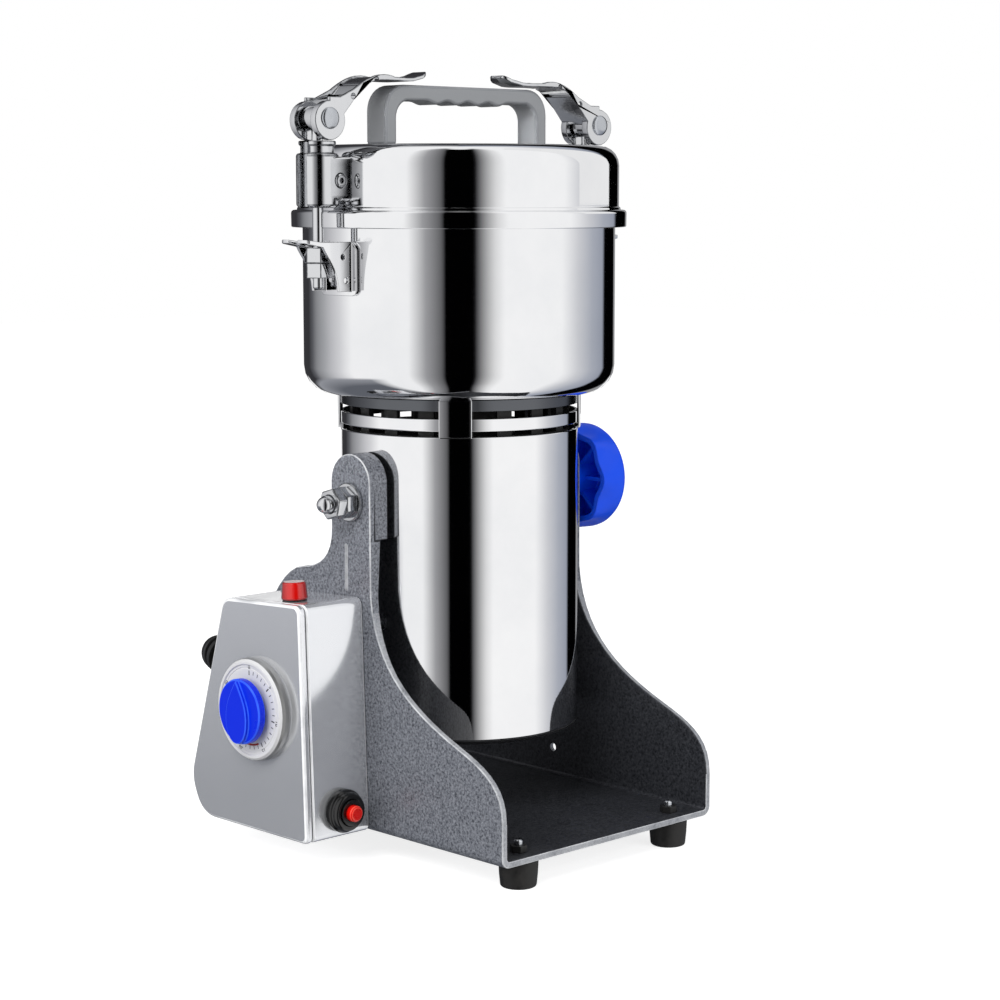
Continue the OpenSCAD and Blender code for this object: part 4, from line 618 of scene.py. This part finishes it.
def tinted_edges(shader, colour, edge_colour, amount, size):
    """A finish in one colour, with another colour on its rounded edges: wear on some finishes, a painted
    highlight on some and painted shade on others.
    """
    edge = use(shader.id_data, edge_wear, {"Colour": colour, "Edge Colour": edge_colour, "Amount": amount,
                                           "Size": size})
    shader.id_data.links.new(edge.outputs["Colour"], shader.inputs["Base Color"])
    return edge


zinc, tree, shader = finish("bright_zinc", tone(196, 198, 202), 0.24, 1.0)
handled(shader, 260.0, 0.14, 0.36)
tinted_edges(shader, tone(188, 191, 196), tone(226, 228, 230), 0.8, 400.0)
eased("foot_screws", zinc, 0.2)
eased("foot_nuts", moulded_black, 0.2)

# Control box.
# A pressed tray and its cover in silver paint, held to the left cheek by four screws from inside. The
# cover sits on a skirt and leaves a dark joint.


def show(node, material):
    """A CAD piece that stays as it is and gets its finish."""
    piece = frame["nodes"][node]
    if not piece.material_slots:
        piece.data.materials.append(material)
    for holder in piece.material_slots:
        holder.material = material


silver, tree, shader = finish("silver_enamel", tone(220), 0.16, 0.82, Coat_Weight=0.3, Coat_Roughness=0.06)
spot = add(tree, "ShaderNodeTexCoord")
sparkle = add(tree, "ShaderNodeTexNoise", {"Vector": spot.outputs["Object"], "Scale": 3200.0, "Detail": 2.0})
flake = mixed(tree, sparkle.outputs[0], tone(224, 226, 230), tone(242, 243, 246))
# The near-white, less metallic colour on the rounded edges is a painted highlight
edge = tinted_edges(shader, flake, tone(244, 245, 247), 0.85, 60.0)
edge_highlight_metallic = ranged(tree, edge.outputs["Mask"], 0.0, 1.0, 0.76, 0.1)
tree.links.new(edge_highlight_metallic, shader.inputs["Metallic"])
handled(shader, 28.0, 0.11, 0.2)
skinned(shader, 420.0, 0.03)
eased("control_box_body", silver, 0.9, steps=3)
cover = eased("control_box_cover", silver, 0.7, steps=3)
# The joint behind the cover is dark, and the wide rounding round its face takes the light edge colour as a
# painted highlight
cover_out, cover_edge, joint_from, joint_to, face_on = -106, 1.35, -102.35, -101.65, 0.99
cover.data.materials.append(moulded_black)
for face in cover.data.polygons:
    if joint_from < face.center.x / MM < joint_to:
        face.material_index = 1
    elif face.center.x / MM < cover_out + cover_edge and abs(face.normal.x) < face_on:
        cover.data.attributes["worn"].data[face.index].value = 1.0
show("box_screws", zinc)

# Timer.
# Spring timer behind the cover. Outside are a spun ring with a printed scale of plain numbers, and a
# blue moulded knob: a disc with a grip like a drop that points to the scale.
box_out, dial_t, dial_r, dial_bore = 106, 5.6, 47.5 / 2, 5.05
dial_face = dial_t - 0.7
dial_centre = Vector((-box_out, 22, 71.2)) * MM
facing = Matrix(((0, 0, -1), (-1, 0, 0), (0, 1, 0))).to_4x4()
on_dial = Matrix.Translation(dial_centre) @ facing
dial_metal, tree, shader = finish("dial_metal", tone(226), 0.5, 0.1, Specular_IOR_Level=0.2)
spot = add(tree, "ShaderNodeTexCoord")
centred = add(tree, "ShaderNodeVectorMath", {0: spot.outputs["Object"], 1: dial_centre},
              operation="SUBTRACT")
reach = add(tree, "ShaderNodeVectorMath", {0: centred.outputs[0]}, operation="LENGTH")
rings = add(tree, "ShaderNodeTexNoise", {"W": reach.outputs["Value"], "Scale": 4200.0, "Detail": 2.0},
            noise_dimensions="1D")
shine = ranged(tree, rings.outputs[0], 0.3, 0.7, 0.44, 0.54)
tree.links.new(shine, shader.inputs["Roughness"])
spun = mixed(tree, rings.outputs[0], tone(200, 200, 202), tone(210, 210, 211))
tinted_edges(shader, spun, tone(224), 0.8, 200.0)
bezel = lathe("timer_bezel_piece", [
    (dial_bore, 0, 0), (dial_r - 0.7, 0, 0.2), (dial_r, 0.8, 0.5), (dial_r, dial_t - 2.6, 0.3),
    (dial_r - 0.5, dial_t - 1.2, 0.4), (dial_r - 1.5, dial_t, 0.35), (dial_r - 2.7, dial_t, 0.3),
    (dial_r - 3.1, dial_face, 0.15), (dial_r - 4.0, dial_face, 0.1), (dial_r - 4.2, dial_face - 0.25, 0.1),
    (dial_r - 4.5, dial_face - 0.25, 0.1), (dial_r - 4.7, dial_face, 0.1), (dial_bore, dial_face, 0)],
    dial_metal, place=on_dial)
stand_for(bezel, "timer_bezel")
side_metal, tree, shader = finish("dial_side", tone(170), 0.2, 1.0)
handled(shader, 90.0, 0.3, 0.4)
bezel.data.materials.append(side_metal)
# The side of the ring is bare and bright
side_from, sideways = (dial_r - 0.8) * MM, 0.6
for face in bezel.data.polygons:
    if abs(face.normal.x) < sideways and (face.center - dial_centre).length > side_from:
        face.material_index = 1

# One tree spaces a pattern round the axis of a dial or a shaft
spaced, given, result = growth("spaced_round_axis", [("Count", "Int"), ("Sweep", "Float"),
                                                     ("Material", "Material")])
dots = add(spaced, "GeometryNodePoints", {"Count": given.outputs["Count"]})
number = add(spaced, "GeometryNodeInputIndex")
gaps = reckon(spaced, "SUBTRACT", given.outputs["Count"], 1.0)
pace = reckon(spaced, "DIVIDE", given.outputs["Sweep"], gaps)
angle = reckon(spaced, "MULTIPLY", number.outputs[0], pace)
turn = add(spaced, "ShaderNodeCombineXYZ", {"Z": angle})
each = add(spaced, "GeometryNodeInstanceOnPoints", {
    "Points": dots.outputs[0], "Instance": given.outputs["Geometry"], "Rotation": turn.outputs[0]})
solid = add(spaced, "GeometryNodeRealizeInstances", {0: each.outputs[0]})
dressed = add(spaced, "GeometryNodeSetMaterial", {"Geometry": solid.outputs[0],
                                                  "Material": given.outputs["Material"]})
spaced.links.new(dressed.outputs[0], result.inputs[0])


def bar(name, low, high):
    """A plain block from corner to corner, in millimetres."""
    bm = bmesh.new()
    bmesh.ops.create_cube(bm, size=1)
    for vert in bm.verts:
        vert.co = Vector([(a + b) / 2 + c * (b - a) for a, b, c in zip(low, high, vert.co)]) * MM
    mesh = bpy.data.meshes.new(name)
    bm.to_mesh(mesh)
    bm.free()
    return placed(name, mesh)


ink, tree, shader = finish("scale_ink", tone(52, 54, 60), 0.5)
handled(shader, 500.0, 0.4, 0.6)
red_ink, tree, shader = finish("scale_red", tone(150, 40, 38), 0.5)
handled(shader, 500.0, 0.4, 0.6)
scale_sweep, scale_step, numbers, number_at, number_h = -300, 5, 7, 19.9, 2.8
print_from, print_to = dial_face - 0.04, dial_face + 0.05


def printed(piece):
    """A print on the dial rides with the box."""
    piece.data.transform(on_dial)
    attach(piece, "base")


# Half width, inner and outer end of a mark, how many stand in how many degrees, and where they begin
for name, half, inner, outer, count, sweep, start, paint, slot in (
        ("scale_ticks", 0.18, 16.6, 18.2, 31, scale_sweep, 0, ink, "black_paint"),
        ("scale_long_ticks", 0.28, 16.1, 18.2, numbers, scale_sweep, 0, ink, "black_paint"),
        ("scale_red_arc", 0.36, 15.6, 16.5, 19, -42, -158, red_ink, "red_plastic")):
    marks = grown(bar(name, (-half, inner, print_from), (half, outer, print_to)), spaced,
                  Count=count, Sweep=radians(sweep), Material=paint)
    marks.data.transform(Matrix.Rotation(radians(start), 4, "Z"))
    printed(marks)
for step in range(numbers):
    lettering = bpy.data.curves.new("scale_number", "FONT")
    lettering.body = str(step * scale_step)
    lettering.size = number_h * MM
    lettering.extrude = 0.03 * MM
    lettering.align_x = "CENTER"
    lettering.align_y = "CENTER"
    holder = placed("scale_number", lettering)
    scene.view_layers[0].update()
    digits = bpy.data.meshes.new_from_object(holder.evaluated_get(bpy.context.evaluated_depsgraph_get()))
    bpy.data.objects.remove(holder)
    turn = Matrix.Rotation(radians(scale_sweep * step / (numbers - 1)), 4, "Z")
    digits.transform(turn @ Matrix.Translation(Vector((0, number_at, dial_face + 0.02)) * MM))
    digits.materials.clear()
    digits.materials.append(ink)
    figure = placed("scale_number_" + str(step * scale_step), digits)
    printed(figure)

blue, tree, shader = finish("blue_plastic", tone(0, 44, 206), 0.36, Specular_IOR_Level=0.25)
tinted_edges(shader, tone(0, 42, 204), tone(56, 100, 240), 0.9, 80.0)
handled(shader, 70.0, 0.26, 0.42)
skinned(shader, 1500.0, 0.12)
eased("timer_knob", blue, 0.5, steps=3)
show("timer_shaft", zinc)
cream, tree, shader = finish("cream_plastic", tone(205, 198, 178), 0.5)
handled(shader, 120.0, 0.42, 0.6)
show("timer_body", cream)

# Thermal breaker.
# Black threaded neck through the front wall with a moulded nut, and a red button in the neck that pops
# out and is pushed back in.
glossy_black, tree, shader = finish("glossy_black", tone(18), 0.16, Specular_IOR_Level=0.6)
handled(shader, 120.0, 0.12, 0.24)
eased("breaker_nut", glossy_black, 0.45)
eased("breaker_body", glossy_black, 0.3)
red, tree, shader = finish("red_plastic", tone(214, 26, 20), 0.28, Specular_IOR_Level=0.5)
tinted_edges(shader, tone(206, 22, 16), tone(244, 84, 66), 0.9, 200.0)
handled(shader, 200.0, 0.2, 0.36)
eased("breaker_button", red, 0.3)

# Lamp.
# Red lens of clear plastic that narrows to its flat top. It is pressed on a threaded base in the top of
# the box.
lens_red, tree, shader = finish("red_lens", tone(196, 18, 12), 0.12, Specular_IOR_Level=0.6, Coat_Weight=0.6,
                                Coat_Roughness=0.05)
edge = use(tree, edge_wear, {"Colour": tone(190, 16, 10), "Edge Colour": tone(246, 96, 72), "Amount": 0.9,
                             "Size": 200.0})
# The lens is painted dark red where it turns away from view: painted shade on its sides
turned_off = add(tree, "ShaderNodeLayerWeight", {"Blend": 0.5})
painted_rim_shade = mixed(tree, turned_off.outputs["Facing"], edge.outputs["Colour"], tone(84, 6, 8))
tree.links.new(painted_rim_shade, shader.inputs["Base Color"])
handled(shader, 240.0, 0.12, 0.26)
lamp_at, top_fall, top_run = Vector((-93.5, 10, 121.19)), 2.5, 55.5
on_box = Matrix.Translation(lamp_at * MM) @ Matrix.Rotation(-atan(top_fall / top_run), 4, "X")
lens = lathe("lamp_lens_piece", [(0, 0.7, 0), (5.8, 0.7, 0.2), (6.1, 1.4, 0.4), (5.5, 8.0, 0.5),
                                 (4.9, 8.7, 0.3), (0, 8.7, 0)], lens_red, 96, on_box)
stand_for(lens, "lamp_lens")
eased("lamp_base", moulded_black, 0.2)

# Bend relief.
# Ribbed black PVC elbow, moulded round the cord and snapped into the back wall of the box.
eased("strain_relief", moulded_black, 0.35)

# Motor housing.
# Polished stainless tube, 112.6 mm across, with a black pressed cap below. It hangs on the two swing
# bolts between the cheeks.
housing_r, tube_z, tube_top, tube_wall = 56.3, 55.3, 195.3, 1.5
steel, tree, shader = finish("polished_steel", tone(236), 0.09, 1.0)
spot = add(tree, "ShaderNodeTexCoord")
# The hairlines of the polish run round the piece
drawn = add(tree, "ShaderNodeVectorMath", {0: spot.outputs["Object"], 1: (1.0, 1.0, 60.0)},
            operation="MULTIPLY")
lines = add(tree, "ShaderNodeTexNoise", {"Vector": drawn.outputs[0], "Scale": 26.0, "Detail": 4.0,
                                         "Roughness": 0.6})
polish = ranged(tree, lines.outputs[0], 0.3, 0.7, 0.025, 0.055)
rub = use(tree, handling, {"Size": 14.0, "Least": 0.0, "Most": 0.02})
gloss = reckon(tree, "ADD", polish, rub.outputs["Roughness"])
tree.links.new(gloss, shader.inputs["Roughness"])
cast = mixed(tree, rub.outputs["Mask"], tone(240, 240, 241), tone(229, 230, 232))
tinted_edges(shader, cast, tone(250), 0.6, 150.0)
hairline = add(tree, "ShaderNodeBump", {"Height": lines.outputs[0], "Strength": 0.04, "Distance": 0.0001})
tree.links.new(hairline.outputs[0], shader.inputs["Normal"])
tube = lathe("motor_housing_piece", [
    (housing_r - tube_wall, tube_z, 0), (housing_r, tube_z, 0.6), (housing_r, tube_top, 0.7),
    (housing_r - tube_wall, tube_top, 0)], steel)
stand_for(tube, "motor_housing")
# The dull mill skin is a real rough finish, painted dark as painted shade inside the mill
mill_skin_and_shade, tree, shader = finish("dull_mill_skin", tone(70), 0.6, 0.8)
skinned(shader, 500.0, 0.4)
handled(shader, 40.0, 0.5, 0.7)


def dull_inside(piece):
    """Only the outer face of a band or tube is polished; the inner face gets a dull mill skin, painted dark
    as painted shade inside the mill.
    """
    piece.data.materials.append(mill_skin_and_shade)
    for face in piece.data.polygons:
        if face.center.xy.dot(face.normal.xy) < 0:
            face.material_index = 1


dull_inside(tube)

black_paint, tree, shader = finish("black_enamel", tone(34), 0.4, 0.2, Coat_Weight=0.2)
tinted_edges(shader, tone(30, 30, 32), tone(74, 75, 78), 0.7, 90.0)
handled(shader, 40.0, 0.3, 0.5)
skinned(shader, 900.0, 0.15)
eased("bottom_cap", black_paint, 0.4)

# Motor.
# Laminated core with two windings, end shields with ball bearings, brushes, and the rotor with its
# commutator and fan. None of it shows while the mill is whole.
cast_aluminium, tree, shader = finish("cast_aluminium", tone(150), 0.5, 0.9)
skinned(shader, 700.0, 0.5)
handled(shader, 60.0, 0.4, 0.6)
core_iron, tree, shader = finish("core_iron", tone(110), 0.5, 0.8)
spot = add(tree, "ShaderNodeTexCoord")
height = add(tree, "ShaderNodeSeparateXYZ", {0: spot.outputs["Object"]})
sheets = add(tree, "ShaderNodeTexNoise", {"W": height.outputs["Z"], "Scale": 2000.0}, noise_dimensions="1D")
layers = mixed(tree, sheets.outputs[0], tone(84, 84, 88), tone(140, 140, 144))
tree.links.new(layers, shader.inputs["Base Color"])
copper, tree, shader = finish("copper_wire", tone(196, 116, 66), 0.35, 0.9)
handled(shader, 900.0, 0.25, 0.5)
segments, tree, shader = finish("commutator_copper", tone(206, 136, 84), 0.3, 1.0)
handled(shader, 300.0, 0.2, 0.45)
for node, material in (
        ("stator_core", core_iron), ("field_coils", copper), ("lower_end_shield", cast_aluminium),
        ("bearings", zinc), ("brush_holders", moulded_black), ("rotor_shaft", zinc), ("armature", core_iron),
        ("commutator", segments), ("fan", moulded_black)):
    show(node, material)

# Vent.
# A bright band and a collar stand over the tube, with a dark gap between them where the cooling air
# goes out. Four straps hold them, and the upper end shield carries the bowl.
band_z, band_h, band_wall, collar_z = 197.8, 5.8, 1.6, 207
vent_band = stand_for(lathe("vent_band_piece", [
    (housing_r - band_wall, band_z, 0.2), (housing_r, band_z, 0.6), (housing_r, band_z + band_h, 0.6),
    (housing_r - band_wall, band_z + band_h, 0.2)], steel), "vent_band")
dull_inside(vent_band)
collar = eased("vent_collar", steel, 0.3)
dull_inside(collar)
shaded_steel, tree, shader = finish("shaded_steel", tone(96, 98, 102), 0.2, 1.0)
handled(shader, 40.0, 0.14, 0.26)
collar.data.materials.append(shaded_steel)
# The top ring of the collar is painted darker, as painted shade under the bowl
for face in collar.data.polygons:
    if face.material_index == 0 and face.center.z > (collar_z - 0.2) * MM:
        face.material_index = 2
# The upper end shield is painted near black: painted shade in the vent gap, where the cast metal would be
# lighter
dark_cast, tree, shader = finish("dark_cast", tone(44), 0.5, 0.5)
skinned(shader, 700.0, 0.5)
handled(shader, 60.0, 0.4, 0.6)
show("upper_end_shield", dark_cast)

# Bowl.
# Deep-drawn stainless pot, 146.6 mm across, with a rounded bottom edge and a turned-out lip. A seal
# keeps the flour off the shaft.
bowl_r, bowl_z, bowl_rim_z, rim_r, seal_r = 73.3, 212, 293, 78.6, 11.05
bowl_wall, bowl_floor, lip = 1.2, 1.5, 1.4
stand_for(lathe("bowl_piece", [
    (seal_r, bowl_z, 0), (bowl_r, bowl_z, 13), (bowl_r, bowl_rim_z - lip, 0.8),
    (rim_r - 2, bowl_rim_z - lip, 0.5), (rim_r - 2, bowl_rim_z, 0.5), (bowl_r - bowl_wall, bowl_rim_z, 0.4),
    (bowl_r - bowl_wall, bowl_z + bowl_floor, 11.8), (seal_r, bowl_z + bowl_floor, 0)], steel), "bowl")
show("shaft_seal", moulded_black)
eased("catch_brackets", steel, 0.3)

# Blades.
# Two crossed blades of hard steel, clamped on the shaft between spacers by a nut.
blade_steel, tree, shader = finish("blade_steel", tone(214), 0.22, 1.0)
handled(shader, 60.0, 0.16, 0.34)
tinted_edges(shader, tone(204, 206, 209), tone(240), 0.9, 300.0)
eased("blades", blade_steel, 0.4)
eased("blade_spacers", zinc, 0.3)
eased("blade_nut", zinc, 0.5)

# Swing bolts and lock knob.
# The left bolt carries a washer and two nuts. The right one ends in a blue star knob with a hollow
# back that clamps the swing.
nickel, tree, shader = finish("bright_nickel", tone(214), 0.1, 1.0)
# The darker edge colour is a painted reflection: the rounded edges are painted dark as if they mirrored dark
# surroundings
tinted_edges(shader, tone(212, 213, 215), tone(104, 106, 110), 0.9, 500.0)
handled(shader, 200.0, 0.06, 0.18)
eased("pivot_stud", nickel, 0.3)
eased("pivot_nuts", nickel, 0.6)
# A lighter copy of the blue plastic of the timer knob: painted light that makes the lock knob look more
# brightly lit
bright_blue, tree, shader = finish("bright_blue", tone(12, 84, 255), 0.34, Specular_IOR_Level=0.4)
handled(shader, 70.0, 0.28, 0.44)
skinned(shader, 1500.0, 0.12)
pivot_z, knob_r, knob_wall, lobe_depth, lobes = 165, 26, 3, 2.2, 8
knob_back, waves_end, knob_front, hollow_end, hub_r = 73, 85, 90, 85.5, 10
hub_foot, stud_end, stud_bore, ridge = 68.8, 85, 4.02, 1.3
inner_wall, wall_steps = knob_r - knob_wall, [75, 77, 79, 81, 83]
section = [(0, stud_end, 0), (stud_bore, stud_end, 0), (stud_bore, hub_foot, 0.2), (hub_r, hub_foot, 0.4),
           (hub_r, hollow_end, 0.6), (inner_wall, hollow_end, 1.2)]
section += [(inner_wall, z, 0) for z in reversed(wall_steps)]
section += [(inner_wall, knob_back, 0.6), (knob_r, knob_back, 0.6)]
section += [(knob_r, z, 0) for z in wall_steps]
section += [(knob_r, knob_front, 4), (0, knob_front, 0)]
clamp = lathe("lock_knob_piece", section, bright_blue)
# The waves of the rim run out towards the front, which is rounded off
for vert in clamp.data.vertices:
    outward = vert.co.xy.length / MM
    along = min(max((vert.co.z / MM - knob_back) / (waves_end - knob_back), 0), 1)
    if outward > inner_wall - ridge:
        wave = (1 - cos(lobes * atan2(vert.co.y, vert.co.x))) / 2 * (1 - along * along * (3 - 2 * along))
        vert.co.xy *= (outward - lobe_depth * wave) / outward
# Ribs in the hollow run from the hub to the wall
rib = bar("lock_knob_ribs", (hub_r - 0.5, -0.9, 76), (inner_wall + 0.3, 0.9, hollow_end + 0.4))
ribs = even(grown(rib, spaced, Count=lobes, Sweep=radians(360 - 360 / lobes), Material=bright_blue))
bm = bmesh.new()
bm.from_mesh(clamp.data)
bm.from_mesh(ribs.data)
bm.to_mesh(clamp.data)
bm.free()
bpy.data.objects.remove(ribs)
clamp.data.transform(Matrix.Translation(Vector((0, 0, pivot_z)) * MM) @ Matrix.Rotation(radians(90), 4, "Y"))
stand_for(clamp, "lock_knob")
show("knob_stud", zinc)

# Lid.
# Drawn stainless cover with a rolled rim that closes over the lip of the bowl. A white silicone gasket
# lies inside.
lid_r, rim_z, rim_top, lid_top, lid_wall = 75, 289.2, 297.2, 326.7, 1.2
stand_for(lathe("lid_piece", [
    (0, lid_top - lid_wall, 0), (lid_r - lid_wall, lid_top - lid_wall, 7.8),
    (lid_r - lid_wall, rim_top - lid_wall, 0.3), (rim_r - lid_wall, rim_top - lid_wall, 0.8),
    (rim_r - lid_wall, rim_z + 0.1, 0.2), (rim_r - 0.1, rim_z, 0.6), (rim_r, rim_top, 1.5),
    (lid_r + 0.9, rim_top, 0.3), (lid_r + 0.6, rim_top + 1.2, 0.5), (lid_r, rim_top + 1.4, 0.5),
    (lid_r, lid_top, 9), (0, lid_top, 0)], steel), "lid")
silicone, tree, shader = finish("silicone", tone(228, 228, 222), 0.5, Specular_IOR_Level=0.4)
handled(shader, 120.0, 0.42, 0.62)
show("lid_gasket", silicone)

# Handle.
# Grey moulded strap bent over, with finger waves under the bar, held by two screws from inside the lid.
grey, tree, shader = finish("grey_plastic", tone(138, 140, 143), 0.4, Specular_IOR_Level=0.5)
# The darker edge colour is painted shade along the handle's rounded edges
tinted_edges(shader, tone(136, 138, 141), tone(112, 114, 118), 0.7, 60.0)
handled(shader, 50.0, 0.34, 0.5)
skinned(shader, 1300.0, 0.15)
eased("handle", grey, 1.3, corner=40, steps=3)
show("handle_screws", zinc)

# Latches.
# Each is a bent steel lever with two cams on a riveted pin, a rod with an eye and two nuts that pulls up
# under the catch, and a slotted block on the lid that carries the cams.
latch_x, pin_z, pin_r, head_r, ear_out, pin_end = 86, 337.7, 3, 4.8, 9.05, 10.6
half_pin = [(pin_r, ear_out, 0), (head_r, ear_out, 0), (head_r, ear_out + 0.5, 0), (4.4, ear_out + 1, 0),
            (3.4, pin_end - 0.25, 0), (2, pin_end - 0.06, 0), (0, pin_end, 0)]
pin_outline = half_pin + [(r, -y, 0) for r, y, ease in reversed(half_pin)]
for side, across in (("left", -latch_x), ("right", latch_x)):
    eased("latch_block_" + side, nickel, 0.5)
    place = Matrix.Translation(Vector((across, 0, pin_z)) * MM) @ Matrix.Rotation(radians(90), 4, "X")
    pin = lathe("latch_pin_piece_" + side, pin_outline, zinc, 96, place)
    stand_for(pin, "latch_pin_" + side)
    eased("latch_lever_" + side, nickel, 0.35)
    eased("latch_rod_" + side, nickel, 0.4)
eased("block_screws", nickel, 0.2)
